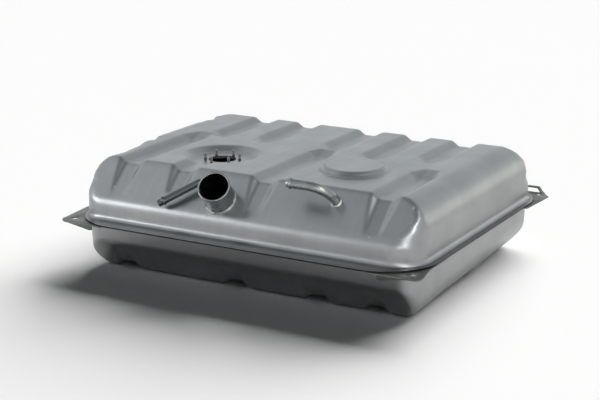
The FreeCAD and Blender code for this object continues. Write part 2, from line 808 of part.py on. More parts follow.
def make_sender_ring():
    """The reinforcing ring inside the dish, which carries the studs."""
    top = S["upper_rise"] - S["channel_depth"] - GAUGE
    bottom = top - S["sender_ring_thick"]
    ring = place(rod("sender_ring_disc", S["sender_ring_radius"], S["sender_ring_thick"]),
                 S["sender_across"], S["sender_back"], bottom)
    opening = place(rod("sender_ring_opening", S["sender_hole_radius"],
                        S["sender_ring_thick"] + GAUGE * 2),
                    S["sender_across"], S["sender_back"], bottom - GAUGE)
    return cut("sender_ring", ring, opening,
               *stud_holes("ring_stud_hole", bottom - GAUGE, S["sender_ring_thick"] + GAUGE * 2))


def make_sender_studs():
    """Six pressed-in studs, one group of separate solids, with heads under the ring."""
    head_top = S["upper_rise"] - S["channel_depth"] - GAUGE - S["sender_ring_thick"]
    seat = GAUGE + S["sender_ring_thick"]
    length = seat + S["stud_stand"]
    shank, shoulder = S["stud_radius"], S["stud_radius"] + S["stud_shoulder"]
    point = shank * 0.3
    studs = []
    for number, (across, back) in enumerate(stud_spots()):
        stud = turned(f"sender_stud_{number}", [
            (0.0, -S["stud_head_thick"], None), (S["stud_head_radius"], -S["stud_head_thick"], None),
            (S["stud_head_radius"], 0.0, None), (shoulder, 0.0, None), (shoulder, seat, None),
            (shank, seat, None), (shank, length - point, None), (shank - point, length, None),
            (0.0, length, None)])
        studs.append(place(stud, across, back, head_top))
    group = doc.addObject("Part::Compound", "sender_studs")
    group.Links = studs
    return group


def bracket_plate(name, front, edge_corners, side_length):
    """A right-hand corner plate under the seam flange, and the drill for its mounting hole."""
    gap = S["bracket_gap"] + S["foot_radius"]
    wall = LOWER_LENGTH + gap
    face = (LOWER_WIDTH + gap) * front
    edge = FLANGE_SIDE * front
    level = -GAUGE - S["bracket_thick"]
    start = FLANGE_END - S["bracket_front_length"]
    corners = [(wall, (FLANGE_SIDE - side_length) * front, None),
               (wall, face, S["lower_corner"] + gap), (start, face, None), (start, edge, None),
               *edge_corners]
    plate = prism(name + "_blank", outline(name + "_plan", corners), S["bracket_thick"],
                  both_ways=False)
    place(plate, up=level)
    hole = place(rod(name + "_hole", S["mount_hole_radius"], S["overcut"] * 2),
                 FLANGE_END - S["mount_end_inset"],
                 (FLANGE_SIDE - S["mount_side_inset"]) * front, level - S["overcut"])
    return plate, hole, level


def front_lip(name, level):
    """The wedge bent down from the front edge of a front bracket."""
    start, end = FLANGE_END - S["front_lip_start"], FLANGE_END - S["front_lip_end"]
    wedge = outline(name + "_outline", [
        (start, S["bracket_thick"], None), (start, -S["front_lip_drop"] * 0.8, None),
        (start + S["front_lip_slant"], -S["front_lip_drop"], None), (end, 0.0, None),
        (end, S["bracket_thick"], None)], UPRIGHT_ACROSS)
    lip = prism(name, wedge, S["bracket_thick"], both_ways=False)
    return place(lip, NOTHING, S["bracket_thick"] - FLANGE_SIDE, level)


def make_front_right_bracket():
    """The front right bracket, whose small tip slants back under the flange."""
    edge_corners = [
        (FLANGE_END + S["front_right_tip"], -FLANGE_SIDE, S["front_right_tip_round"]),
        (FLANGE_END + S["front_right_tip"], S["front_right_waist"] - FLANGE_SIDE, None),
        (FLANGE_END, S["front_right_merge"] - FLANGE_SIDE, None),
        (FLANGE_END, S["bracket_side_length"] - FLANGE_SIDE, None)]
    plate, hole, level = bracket_plate("front_right", -1.0, edge_corners, S["bracket_side_length"])
    lip = front_lip("front_right_lip", level)
    return cut("bracket_front_right", fuse("front_right_bent", plate, lip), hole)


def make_front_left_bracket():
    """The front left bracket, drawn right-handed, with a round tip and a wide heel."""
    edge_corners = [
        (FLANGE_END + S["front_left_tip"], -FLANGE_SIDE, S["front_left_tip_round"]),
        (FLANGE_END + S["front_left_tip"], S["mount_side_inset"] - FLANGE_SIDE, None),
        (FLANGE_END + S["front_left_heel"], S["front_left_heel_back"] - FLANGE_SIDE, None),
        (FLANGE_END, S["front_left_side_length"] - FLANGE_SIDE, None)]
    plate, hole, level = bracket_plate("front_left", -1.0, edge_corners,
                                       S["front_left_side_length"])
    lip = front_lip("front_left_lip", level)
    return mirrored("bracket_front_left", cut("front_left_right_handed",
                                              fuse("front_left_bent", plate, lip), hole))


def make_rear_bracket():
    """The rear right bracket, with a pointed tip and a raised loop over a slot."""
    edge_corners = [
        (FLANGE_END - S["rear_chamfer_inset"], FLANGE_SIDE, None),
        (FLANGE_END + S["rear_bevel_out"], FLANGE_SIDE - S["rear_bevel_inset"], None),
        (FLANGE_END + S["rear_tip_out"], FLANGE_SIDE - S["rear_tip_inset"], S["rear_tip_round"]),
        (FLANGE_END + S["rear_edge_out"], FLANGE_SIDE - S["rear_edge_start"], None)]
    plate, hole, level = bracket_plate("rear_right", 1.0, edge_corners, S["bracket_side_length"])
    half, thick, rise = S["loop_half_span"], S["bracket_thick"], S["loop_rise"]
    inner = half - thick
    arch = outline("rear_right_arch", [
        (-half, 0.0, None), (-inner, 0.0, None), (-inner * 0.7, rise, None), (inner * 0.7, rise, None),
        (inner, 0.0, None), (half, 0.0, None), (inner * 0.7 + thick, rise + thick, None),
        (-inner * 0.7 - thick, rise + thick, None)], UPRIGHT_ACROSS)
    centre = FLANGE_END - S["loop_end_inset"]
    loop = place(prism("rear_right_loop", arch, S["loop_width"], both_ways=False),
                 centre, FLANGE_SIDE, level)
    slot = place(block("rear_right_slot", inner * 2, S["loop_slot_width"], S["overcut"] * 2),
                 centre - inner, FLANGE_SIDE - S["loop_slot_width"], level - S["overcut"])
    return fuse("bracket_rear_right", cut("rear_right_pierced", plate, hole, slot), loop)


def mirrored(name, source):
    """The left-hand copy of a right-hand piece."""
    copy = doc.addObject("Part::Mirroring", name)
    copy.Source = source
    copy.Base = Vector()
    copy.Normal = Vector(1, 0, 0)
    return copy


def make_baffle(name, side):
    """An upright baffle across the tank, with windows and a spot-welded foot."""
    floor = GAUGE - S["lower_depth"]
    gauge = S["baffle_gauge"]
    low, knee = LOWER_RIDGE - S["baffle_floor_inset"], LOWER_WIDTH - S["baffle_knee_inset"]
    wall, top = UPPER_WIDTH - S["baffle_side_inset"], UPPER_WIDTH - S["baffle_top_inset"]
    drop, shoulder = -S["baffle_knee_drop"], S["upper_shoulder"] - S["overcut"]
    step = drop + S["baffle_knee_step"]
    web = prism(name + "_blank", outline(name + "_outline", [
        (-low, floor, None), (low, floor, None), (knee, drop, None), (wall, step, None),
        (wall, shoulder, None), (top, S["baffle_top"], None), (-top, S["baffle_top"], None),
        (-wall, shoulder, None), (-wall, step, None), (-knee, drop, None)], UPRIGHT_ALONG),
        gauge)
    place(web, S["baffle_place"] * side)
    foot = place(block(name + "_foot", S["baffle_foot_width"], low * 2, gauge),
                 S["baffle_place"] * side - (S["baffle_foot_width"] if side < 0 else NOTHING),
                 -low, floor)
    notch = place(block(name + "_notch", S["baffle_foot_width"] * 4, S["baffle_notch_half"] * 2,
                        S["baffle_notch_rise"] + S["overcut"]),
                  S["baffle_place"] * side - S["baffle_foot_width"] * 2,
                  S["cross_channel_place"] - S["baffle_notch_half"], floor - S["overcut"])
    windows = [place(rod(f"{name}_window_{number}", S["baffle_window_radius"], S["overcut"] * 2),
                     S["baffle_place"] * side - S["overcut"], S["baffle_window_spacing"] * number,
                     -S["baffle_window_drop"], UPRIGHT_ALONG)
               for number in (-1.0, 0.0, 1.0)]
    return cut(name, fuse(name + "_bent", web, foot), notch, *windows)


def make_swirl_pot():
    """The open pot on the tank floor, under the sender opening."""
    outer, inner = S["pot_radius"], S["pot_radius"] - S["pot_gauge"]
    floor = GAUGE - S["lower_depth"]
    cup = turned("pot_cup", [
        (0.0, 0.0, None), (outer, 0.0, None), (outer, S["pot_height"], None),
        (inner, S["pot_height"], None), (inner, S["pot_gauge"], None), (0.0, S["pot_gauge"], None)])
    place(cup, S["sender_across"], S["sender_back"], floor)
    port = place(rod("pot_port", S["pot_port_radius"], outer * 3),
                 S["sender_across"] - outer * 1.5, S["sender_back"],
                 floor + S["pot_gauge"] + S["pot_port_radius"], Rotation(Vector(0, 1, 0), 90))
    return cut("swirl_pot", cup, port)


# The whole tank, and its export

def make_tank():
    """Builds every sub-part and returns them by file name."""
    _, upper = make_upper_shell()
    parts = {"upper_shell": upper, "lower_shell": make_lower_shell()}
    parts["filler_neck"] = make_filler_neck()
    parts["neck_collar"] = make_collar("neck_collar", NECK_SPOT, S["neck_radius"],
                                       S["collar_spread"], S["collar_rise"], NECK_TILT)
    away = Rotation(Vector(0, 0, 1), 180)
    swing = Rotation(Vector(0, 0, 1), 180 + S["breather_swing"].value)
    parts["vent_tube"] = make_bent_tube("vent_tube", VENT_SPOT, "vent", away)
    parts["breather_tube"] = make_bent_tube("breather_tube", BREATHER_SPOT, "breather", swing)
    for tube, spot in (("vent", VENT_SPOT), ("breather", BREATHER_SPOT)):
        name = f"{tube}_collar"
        parts[name] = make_collar(name, spot, S[f"{tube}_radius"], S["tube_collar_spread"],
                                  S["tube_collar_rise"])
    parts["sender_ring"] = make_sender_ring()
    parts["sender_studs"] = make_sender_studs()
    parts["bracket_front_right"] = make_front_right_bracket()
    parts["bracket_rear_right"] = make_rear_bracket()
    parts["bracket_front_left"] = make_front_left_bracket()
    parts["bracket_rear_left"] = mirrored("bracket_rear_left", parts["bracket_rear_right"])
    parts["baffle_left"] = make_baffle("baffle_left", -1.0)
    parts["baffle_right"] = make_baffle("baffle_right", 1.0)
    parts["swirl_pot"] = make_swirl_pot()
    return parts


def check(parts):
    """Stops if any object failed or any sub-part's shape is null or invalid."""
    for item in doc.Objects:
        if "Invalid" in item.State or "Error" in item.State:
            raise RuntimeError(f"{item.Name} failed: {item.State}")
    for name, item in parts.items():
        shape = item.Shape
        if shape.isNull() or not shape.isValid() or not shape.Solids:
            raise RuntimeError(f"{name} has no valid solid")
        print(f"{name}: {len(shape.Solids)} solid(s), {shape.Volume / 1000:.1f} cm3, "
              f"{len(shape.Faces)} faces")


def export(parts):
    """Writes one STEP file for each sub-part."""
    os.makedirs("parts", exist_ok=True)
    for name, item in parts.items():
        item.Label = name
        item.Shape.exportStep(f"parts/{name}.step")


tank = make_tank()
doc.recompute()
check(tank)
export(tank)
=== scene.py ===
import logging
import math
from dataclasses import dataclass
from enum import Enum

import bmesh
import bpy
import numpy as np
from mathutils import Matrix, Vector


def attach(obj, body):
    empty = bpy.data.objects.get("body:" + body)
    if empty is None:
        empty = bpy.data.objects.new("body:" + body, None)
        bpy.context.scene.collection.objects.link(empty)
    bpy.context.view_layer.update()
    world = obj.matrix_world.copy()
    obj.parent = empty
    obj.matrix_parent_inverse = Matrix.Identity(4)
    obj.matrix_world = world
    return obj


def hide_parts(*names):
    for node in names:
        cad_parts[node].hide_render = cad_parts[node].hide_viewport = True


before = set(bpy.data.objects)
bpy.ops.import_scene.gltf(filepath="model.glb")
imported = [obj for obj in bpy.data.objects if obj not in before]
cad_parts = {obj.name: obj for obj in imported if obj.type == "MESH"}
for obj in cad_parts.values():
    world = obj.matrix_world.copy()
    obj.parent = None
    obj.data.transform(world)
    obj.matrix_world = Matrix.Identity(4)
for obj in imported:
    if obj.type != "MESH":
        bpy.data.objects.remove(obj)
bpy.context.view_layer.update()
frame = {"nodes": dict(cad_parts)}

# Dresses a pressed-steel fuel tank: two stamped skins, brazed tubes, studs and welded brackets.
# Sizes are in millimetres and angles in degrees until a mesh is finished, which is in metres.

LOG = logging.getLogger("fuel_tank")
MM = 0.001
ROOT = "root"
# Pairs of a place and the value there.
Stations = tuple[tuple[float, float], ...]
# A pressed form or a hole is worked out within this many of its half widths.
NEARBY = 2.0
# The hole for a tube is this much larger in radius than the tube.
BORE_CLEARANCE = 0.2


class Slot(Enum):
    """The record's material slots."""

    PRESSED = "pressed_steel"
    BRACKET = "bracket_steel"
    TUBE = "plated_tube"
    BRAZE = "braze"
    FASTENER = "fastener_steel"
    INNER = "inner_steel"


class Side(Enum):
    """Which way a channel runs from the middle of the tank, or both ways."""

    FRONT = -1.0
    REAR = 1.0
    THROUGH = 0.0


# Signed distances

@dataclass(frozen=True)
class Gap:
    """Signed distances of many points from a surface, with its outward normals there."""

    reach: np.ndarray
    normal: np.ndarray

    def turned(self) -> "Gap":
        """The same surface with its inside and outside exchanged."""
        return Gap(-self.reach, -self.normal)


def plane_gap(points: np.ndarray, spot: tuple, normal: tuple) -> Gap:
    """Measures points from a plane.

    Args:
        points: Places in millimetres, one row each.
        spot: A point of the plane.
        normal: Its outward direction, of any length.

    Returns:
        The signed distances and the unit normal, repeated.
    """
    unit = np.asarray(normal, float)
    unit = unit / np.linalg.norm(unit)
    return Gap((points - np.asarray(spot, float)) @ unit, np.broadcast_to(unit, points.shape))


def pair_gap(points: np.ndarray, axis: int, half: float | np.ndarray, draft: float = 0.0) -> Gap:
    """Measures points from two opposite walls.

    Args:
        points: Places in millimetres.
        axis: 0 for walls across X, 1 for walls across Y.
        half: Half the distance between the walls at the seam plane, one for all points or one
            for each.
        draft: How far the walls lean inwards as they rise.

    Returns:
        The distances from the nearer wall.
    """
    out, up = math.cos(math.radians(draft)), math.sin(math.radians(draft))
    normal = np.zeros_like(points)
    normal[:, axis] = np.where(points[:, axis] < 0.0, -out, out)
    normal[:, 2] = up
    return Gap((np.abs(points[:, axis]) - half) * out + points[:, 2] * up, normal)


def meet(first: Gap, second: Gap, radius: float | np.ndarray) -> Gap:
    """Keeps what two forms share and rounds the outward edge between them.

    Args:
        first: Distances from the first form.
        second: Distances from the second form.
        radius: Radius of the rounding, one for all points or one for each.

    Returns:
        The distances from the rounded form.
    """
    least_spread, least_square = 1e-4, 1e-12
    lean = np.einsum("ij,ij->i", first.normal, second.normal)
    a, b = first.reach + radius, second.reach + radius
    spread = 1.0 - lean ** 2
    turning = (spread > least_spread) & (a > lean * b) & (b > lean * a)
    spread = np.maximum(spread, least_spread)
    arc = np.sqrt(np.maximum((a * a + b * b - 2.0 * lean * a * b) / spread, least_square))
    swept = ((a - lean * b)[:, None] * first.normal + (b - lean * a)[:, None] * second.normal)
    swept = swept / (spread * arc)[:, None]
    plain = np.where((first.reach >= second.reach)[:, None], first.normal, second.normal)
    return Gap(np.where(turning, arc, np.maximum(a, b)) - radius,
               np.where(turning[:, None], swept, plain))


def join(first: Gap, second: Gap, radius: float | np.ndarray) -> Gap:
    """Keeps what either form holds and fills the inward corner between them with a fillet."""
    return meet(first.turned(), second.turned(), radius).turned()


def eased(stations: Stations, places: np.ndarray) -> np.ndarray:
    """Reads a value that eases from station to station.

    Args:
        stations: The stations to ease between, in rising order of place.
        places: Where to read it.

    Returns:
        One value for each place.
    """
    spots, values = np.array(stations, float).T
    where = np.clip(np.searchsorted(spots, places) - 1, 0, len(spots) - 2)
    share = np.clip((places - spots[where]) / (spots[where + 1] - spots[where]), 0.0, 1.0)
    share = share * share * (3.0 - 2.0 * share)
    return values[where] + (values[where + 1] - values[where]) * share


@dataclass(frozen=True)
class Channel:
    """A pressed channel that starts on the flat top, at its floor's end, and runs down a slope."""

    across: float
    side: Side
    floor_end: float = 0.0


@dataclass(frozen=True)
class Disc:
    """A round feature of the top: a dish if its rise is negative, a raised disc if positive."""

    across: float
    back: float
    radius: float
    spread: float
    rise: float
    edge_round: float
    foot_round: float


@dataclass
class PressedForm:
    """The outer form of one stamped half, drawn upright over the seam plane.

    The sloping panels climb from the shoulder height on the long walls to the ridges of the flat
    top. The rounds between the top and the ends are read along the ends. The creases between the
    panels and the ends are read by height. The left end stands out by its swell.
    """

    half_length: float
    half_width: float
    height: float
    shoulder: float
    ridge: float
    corner: float
    front_corners: tuple[float, float]
    shoulder_round: float
    ridge_round: float
    draft: float
    left_rounds: Stations
    right_rounds: Stations
    channels: tuple[Channel, ...]
    crossing: float | None = None
    discs: tuple[Disc, ...] = ()
    notches: tuple[float, ...] = ()
    left_swell: float = 0.0
    left_crease: Stations = ((34.0, 28.0), (92.0, 23.0))
    right_crease: Stations = ((34.0, 42.0), (56.0, 30.0), (76.0, 15.0), (92.0, 8.0))
    depth: float = 9.5
    floor_half: float = 12.5
    rim_half: float = 25.5
    rim_round: float = 13.0
    floor_round: float = 9.0
    fade: float = 8.0
    ramp: tuple[float, float] = (36.0, 9.5)
    ramp_round: float = 28.0
    ramp_reach: float = 3.0
    crossing_floor_half: float = 18.0
    crossing_rim_half: float = 35.0
    notch_floor_half: float = 9.0
    notch_rim_half: float = 22.0
    notch_depth: float = 7.0
    notch_inset: float = 13.5

    def plain(self, points: np.ndarray) -> Gap:
        """Rounds the form, before anything is pressed into it.

        Args:
            points: Places in millimetres.

        Returns:
            The distances from the plain form.
        """
        front = pair_gap(points, 1, self.half_width, self.draft)
        end = pair_gap(points, 0, self.half_length + self.left_swell * (points[:, 0] < 0.0))
        top = plane_gap(points, (0.0, 0.0, self.height), (0.0, 0.0, 1.0))
        rise, run = self.height - self.shoulder, self.half_width - self.ridge
        length = math.hypot(rise, run)
        upright = pair_gap(points, 1, self.half_width)
        normal = upright.normal * (rise / length) + top.normal * (run / length)
        slope = Gap(upright.reach * (rise / length)
                    + (points[:, 2] - self.shoulder) * (run / length), normal)
        side = meet(meet(front, slope, self.shoulder_round), top, self.ridge_round)
        rounds = np.where(points[:, 0] < 0.0, eased(self.left_rounds, points[:, 1]),
                          eased(self.right_rounds, points[:, 1]))
        crease = np.where(points[:, 0] < 0.0, eased(self.left_crease, points[:, 2]),
                          eased(self.right_crease, points[:, 2]))
        form = meet(side, meet(end, top, rounds), crease)
        front_corner = np.where(points[:, 0] < 0.0, *self.front_corners)
        corner = np.where(points[:, 1] < 0.0, front_corner, self.corner)
        return meet(form, meet(end, front, corner), crease)

    def channel_line(self, points: np.ndarray, channel: Channel, offset: float, climb: tuple) -> Gap:
        """One long face of a channel: its floor, or a flank that climbs across.

        Args:
            points: Places in millimetres.
            channel: The channel.
            offset: How far the face's lower edge lies from the middle of the channel.
            climb: Direction of the face across the channel.

        Returns:
            The distances from the face, with its bend at the ridge and its ramp.
        """
        floor = self.height - self.depth
        fade_back = self.half_width - self.fade
        climb_share = self.fade / (self.half_width - self.ridge)
        fade_up = self.shoulder + climb_share * (self.height - self.shoulder)
        across = channel.across + offset

        def face(back: float, run: tuple) -> Gap:
            """The plane through one point of the edge that holds a run and the climb."""
            normal = np.cross(run, climb)
            return plane_gap(points, (across, back, floor), normal * np.sign(normal[2]))

        line = face(0.0, (0.0, 1.0, 0.0))
        ways = (-1.0, 1.0) if channel.side is Side.THROUGH else (channel.side.value,)
        for way in ways:
            down = (0.0, (fade_back - self.ridge) * way, fade_up - floor)
            line = meet(line, face(self.ridge * way, down), self.ridge_round)
        if channel.side is not Side.THROUGH:
            up = (0.0, -self.ramp[0] * channel.side.value, self.ramp[1])
            line = join(line, face(channel.floor_end, up), self.ramp_round)
        return line

    def with_channel(self, form: Gap, points: np.ndarray, channel: Channel) -> Gap:
        """Presses one channel into the form.

        Args:
            form: Distances from the form so far.
            points: The places that they were taken at.
            channel: The channel.

        Returns:
            The distances from the form with its channel.
        """
        near = np.abs(points[:, 0] - channel.across) < self.rim_half * NEARBY
        if channel.side is not Side.THROUGH:
            inward = (points[:, 1] - channel.floor_end) * channel.side.value
            near &= inward > -self.ramp[0] * self.ramp_reach
        spots = points[near]
        flank = self.rim_half - self.floor_half
        pressed = self.channel_line(spots, channel, 0.0, (1.0, 0.0, 0.0))
        for way in (-1.0, 1.0):
            side = self.channel_line(spots, channel, self.floor_half * way,
                                     (flank * way, 0.0, self.depth))
            pressed = join(pressed, side, self.floor_round)
        return self.patched(form, near, pressed)

    def patched(self, form: Gap, near: np.ndarray, pressed: Gap) -> Gap:
        """Meets the form with a pressed face where the face is near.

        Args:
            form: Distances from the form so far.
            near: Which of its points lie near the face.
            pressed: Distances of those points from the face.

        Returns:
            The distances from the form with the face pressed into it.
        """
        local = meet(Gap(form.reach[near], form.normal[near]), pressed, self.rim_round)
        reach, normal = form.reach.copy(), form.normal.copy()
        reach[near], normal[near] = local.reach, local.normal
        return Gap(reach, normal)

    def with_crossing(self, form: Gap, points: np.ndarray, back: float) -> Gap:
        """Presses the channel that runs along the length of the tank.

        Args:
            form: Distances from the form so far.
            points: The places that they were taken at.
            back: How far back the middle of the channel lies.

        Returns:
            The distances from the form with its crossing channel.
        """
        near = np.abs(points[:, 1] - back) < self.crossing_rim_half * NEARBY
        spots = points[near]
        floor = self.height - self.depth
        pressed = plane_gap(spots, (0.0, 0.0, floor), (0.0, 0.0, 1.0))
        flank = self.crossing_rim_half - self.crossing_floor_half
        for way in (-1.0, 1.0):
            side = plane_gap(spots, (0.0, back + self.crossing_floor_half * way, floor),
                             (0.0, -self.depth * way, flank))
            pressed = join(pressed, side, self.floor_round)
        return self.patched(form, near, pressed)

    def with_notch(self, form: Gap, points: np.ndarray, back: float) -> Gap:
        """Presses one notch across the upper edge of the left end.

        Args:
            form: Distances from the form so far.
            points: The places that they were taken at.
            back: How far back the middle of the notch lies.

        Returns:
            The distances from the form with its notch.
        """
        near = np.abs(points[:, 1] - back) < self.notch_rim_half * NEARBY
        spots = points[near]
        diagonal = math.sqrt(0.5)
        lean = self.notch_inset * diagonal
        spot = (-self.half_length + lean, back, self.height - lean)
        pressed = plane_gap(spots, spot, (-1.0, 0.0, 1.0))
        flank = self.notch_rim_half - self.notch_floor_half
        for way in (-1.0, 1.0):
            edge = (spot[0], back + self.notch_floor_half * way, spot[2])
            climb = self.notch_depth * diagonal
            normal = np.cross((1.0, 0.0, 1.0), (-climb, flank * way, climb))
            side = plane_gap(spots, edge, normal * np.sign(normal[2]))
            pressed = join(pressed, side, self.floor_round)
        return self.patched(form, near, pressed)

    def disc_gap(self, points: np.ndarray, disc: Disc) -> Gap:
        """Measures points from a dish's floor and flank, or from a raised disc.

        Args:
            points: Places in millimetres.
            disc: The dish or the raised disc.

        Returns:
            The distances from its own surface, before it meets the top.
        """
        least_radius = 1e-6
        flat = points[:, :2] - (disc.across, disc.back)
        radial = np.maximum(np.linalg.norm(flat, axis=1), least_radius)
        level = plane_gap(points, (0.0, 0.0, self.height + disc.rise), (0.0, 0.0, 1.0))
        length = math.hypot(disc.rise, disc.spread)
        out, up = disc.rise / length, disc.spread / length
        normal = np.zeros_like(points)
        normal[:, :2] = flat / radial[:, None] * out
        normal[:, 2] = up
        cone = Gap((radial - disc.radius) * out + level.reach * up, normal)
        if disc.rise < 0.0:
            return join(level, cone, disc.foot_round)
        return meet(level, cone, disc.edge_round)

    def surface(self, points: np.ndarray) -> Gap:
        """Measures points from the whole outer form of the pressing.

        Args:
            points: Places in millimetres.

        Returns:
            The distances from the form with all that is pressed into it.
        """
        form = self.plain(points)
        for channel in self.channels:
            form = self.with_channel(form, points, channel)
        if self.crossing is not None:
            form = self.with_crossing(form, points, self.crossing)
        for back in self.notches:
            form = self.with_notch(form, points, back)
        for disc in self.discs:
            made = self.disc_gap(points, disc)
            form = (meet(form, made, disc.edge_round) if disc.rise < 0.0
                    else join(form, made, disc.foot_round))
        return form

    def seat(self, cores: np.ndarray, aims: np.ndarray) -> tuple[np.ndarray, np.ndarray]:
        """Moves points out along rays until they lie on the surface.

        Args:
            cores: Where the rays start, inside the form.
            aims: A point that each ray passes through.

        Returns:
            The places on the surface and its normals there.
        """
        rounds, least_slope, longest_step = 16, 0.25, 15.0
        along = aims - cores
        length = np.linalg.norm(along, axis=1)
        along = along / length[:, None]
        for _ in range(rounds):
            places = cores + along * length[:, None]
            gap = self.surface(places)
            slope = np.maximum(np.einsum("ij,ij->i", gap.normal, along), least_slope)
            length = length - np.clip(gap.reach / slope, -longest_step, longest_step)
        return cores + along * length[:, None], gap.normal


# Mesh helpers

def finish_mesh(name: str, mesh: bmesh.types.BMesh, material: bpy.types.Material,
                replaces: tuple[str, ...] = (), sharp: float = 35.0) -> bpy.types.Object:
    """Turns a mesh in millimetres into a piece of the tank.

    Args:
        name: Name of the piece.
        mesh: The finished mesh, which is freed.
        material: Its material.
        replaces: CAD nodes that it stands for.
        sharp: Edges that turn by more than this stay sharp.

    Returns:
        The new object, which rides on the tank.
    """
    bmesh.ops.scale(mesh, vec=(MM, MM, MM), verts=mesh.verts)
    for face in mesh.faces:
        face.smooth = True
    for edge in mesh.edges:
        if len(edge.link_faces) == 2:
            edge.smooth = edge.calc_face_angle() < math.radians(sharp)
    data = bpy.data.meshes.new(name)
    mesh.to_mesh(data)
    mesh.free()
    piece = bpy.data.objects.new(name, data)
    bpy.context.scene.collection.objects.link(piece)
    data.materials.append(material)
    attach(piece, ROOT)
    if replaces:
        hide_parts(*replaces)
    LOG.info("%s: %d faces", name, len(data.polygons))
    return piece


def spun(profile: list[tuple[float, float]], steps: int = 64) -> bmesh.types.BMesh:
    """Turns a closed profile of (radius, height) points about the Z axis.

    Args:
        profile: The corners of the section, none of them on the axis.
        steps: Number of steps in the full turn.

    Returns:
        A closed mesh whose faces point outwards.
    """
    mesh = bmesh.new()
    corners = [mesh.verts.new((radius, 0.0, height)) for radius, height in profile]
    edges = [mesh.edges.new((corners[i - 1], corners[i])) for i in range(len(corners))]
    bmesh.ops.spin(mesh, geom=corners + edges, cent=(0.0, 0.0, 0.0), axis=(0.0, 0.0, 1.0),
                   dvec=(0.0, 0.0, 0.0), angle=math.tau, steps=steps, use_merge=True)
    bmesh.ops.recalc_face_normals(mesh, faces=mesh.faces)
    return mesh


def arc_points(centre: tuple[float, float], radius: float, start: float, end: float,
               steps: int) -> list[tuple[float, float]]:
    """Places points along an arc of a section.

    Args:
        centre: The middle of the arc, as radius and height.
        radius: Its own radius.
        start: The angle it starts at.
        end: The angle it ends at.
        steps: Number of steps between the two.

    Returns:
        The points from the start to the end.
    """
    angles = [math.radians(start + (end - start) * step / steps) for step in range(steps + 1)]
    return [(centre[0] + radius * math.cos(turn), centre[1] + radius * math.sin(turn))
            for turn in angles]


# Finishes

def srgb(colour: str) -> tuple[float, float, float, float]:
    """Turns an sRGB hex colour into the linear colour that Blender reads.

    Args:
        colour: The colour as a hash and six digits.

    Returns:
        Red, green and blue, and an opaque alpha.
    """
    parts = [int(colour[i:i + 2], 16) / 255.0 for i in (1, 3, 5)]
    linear = [part / 12.92 if part <= 0.04045 else ((part + 0.055) / 1.055) ** 2.4
              for part in parts]
    return (*linear, 1.0)


def add_node(tree: bpy.types.NodeTree, kind: str, settings: dict | None = None,
             inputs: dict | None = None) -> bpy.types.Node:
    """Adds a node with its settings and its inputs.

    Args:
        tree: The node tree.
        kind: The node's type.
        settings: Values of its own properties.
        inputs: Values, or sockets to link from, by the name or number of the input.

    Returns:
        The new node.
    """
    node = tree.nodes.new(kind)
    for name, value in (settings or {}).items():
        setattr(node, name, value)
    for name, value in (inputs or {}).items():
        if isinstance(value, bpy.types.NodeSocket):
            tree.links.new(value, node.inputs[name])
        else:
            node.inputs[name].default_value = value
    return node


@dataclass(frozen=True)
class MetalFinish:
    """A bare metal with soft blotches, a fine grain and marks drawn along one direction.

    Blotches, grain and streaks are sized in millimetres. A vertex attribute can lay a tint over
    the colour.
    """

    name: str
    light: str
    dark: str
    roughness: float
    roughness_swing: float
    blotch: float
    grain: float
    grain_height: float
    streak: float
    streak_ways: tuple[float, float, float] = (1.0, 1.0, 1.0)
    metallic: float = 1.0
    tint: str | None = None
    tint_attribute: str | None = None

    def material(self) -> bpy.types.Material:
        """Builds the material from nodes that read Object coordinates.

        Returns:
            The new material.
        """
        streak_share, tone_span, gloss_span = 0.4, (0.45, 0.95), (0.4, 1.0)
        made = bpy.data.materials.new(self.name)
        made.use_nodes = True
        tree = made.node_tree
        shader = tree.nodes["Principled BSDF"]
        shader.inputs["Metallic"].default_value = self.metallic
        place = add_node(tree, "ShaderNodeTexCoord").outputs["Object"]
        blotches = add_node(tree, "ShaderNodeTexNoise", {}, {
            "Vector": place, "Scale": 1.0 / (self.blotch * MM), "Detail": 4.0, "Roughness": 0.55})
        stretch = add_node(tree, "ShaderNodeMapping", {}, {"Vector": place, "Scale": self.streak_ways})
        streaks = add_node(tree, "ShaderNodeTexNoise", {}, {
            "Vector": stretch.outputs[0], "Scale": 1.0 / (self.streak * MM), "Detail": 3.0})
        grain = add_node(tree, "ShaderNodeTexNoise", {}, {
            "Vector": place, "Scale": 1.0 / (self.grain * MM), "Detail": 2.0})
        blend = add_node(tree, "ShaderNodeMath", {"operation": "MULTIPLY_ADD"}, {
            0: streaks.outputs[0], 1: streak_share, 2: blotches.outputs[0]})
        share = add_node(tree, "ShaderNodeMapRange", {}, {
            "Value": blend.outputs[0], "From Min": tone_span[0], "From Max": tone_span[1]})
        colour = add_node(tree, "ShaderNodeMix", {"data_type": "RGBA"}, {
            0: share.outputs[0], 6: srgb(self.dark), 7: srgb(self.light)}).outputs[2]
        if self.tint and self.tint_attribute:
            mark = add_node(tree, "ShaderNodeAttribute", {"attribute_name": self.tint_attribute})
            colour = add_node(tree, "ShaderNodeMix", {"data_type": "RGBA"}, {
                0: mark.outputs["Fac"], 6: colour, 7: srgb(self.tint)}).outputs[2]
        gloss = add_node(tree, "ShaderNodeMapRange", {}, {
            "Value": blend.outputs[0], "From Min": gloss_span[0], "From Max": gloss_span[1],
            "To Min": self.roughness + self.roughness_swing,
            "To Max": self.roughness - self.roughness_swing})
        bump = add_node(tree, "ShaderNodeBump", {}, {
            "Strength": 1.0, "Distance": self.grain_height * MM, "Height": grain.outputs[0]})
        tree.links.new(colour, shader.inputs["Base Color"])
        tree.links.new(gloss.outputs[0], shader.inputs["Roughness"])
        tree.links.new(bump.outputs[0], shader.inputs["Normal"])
        return made


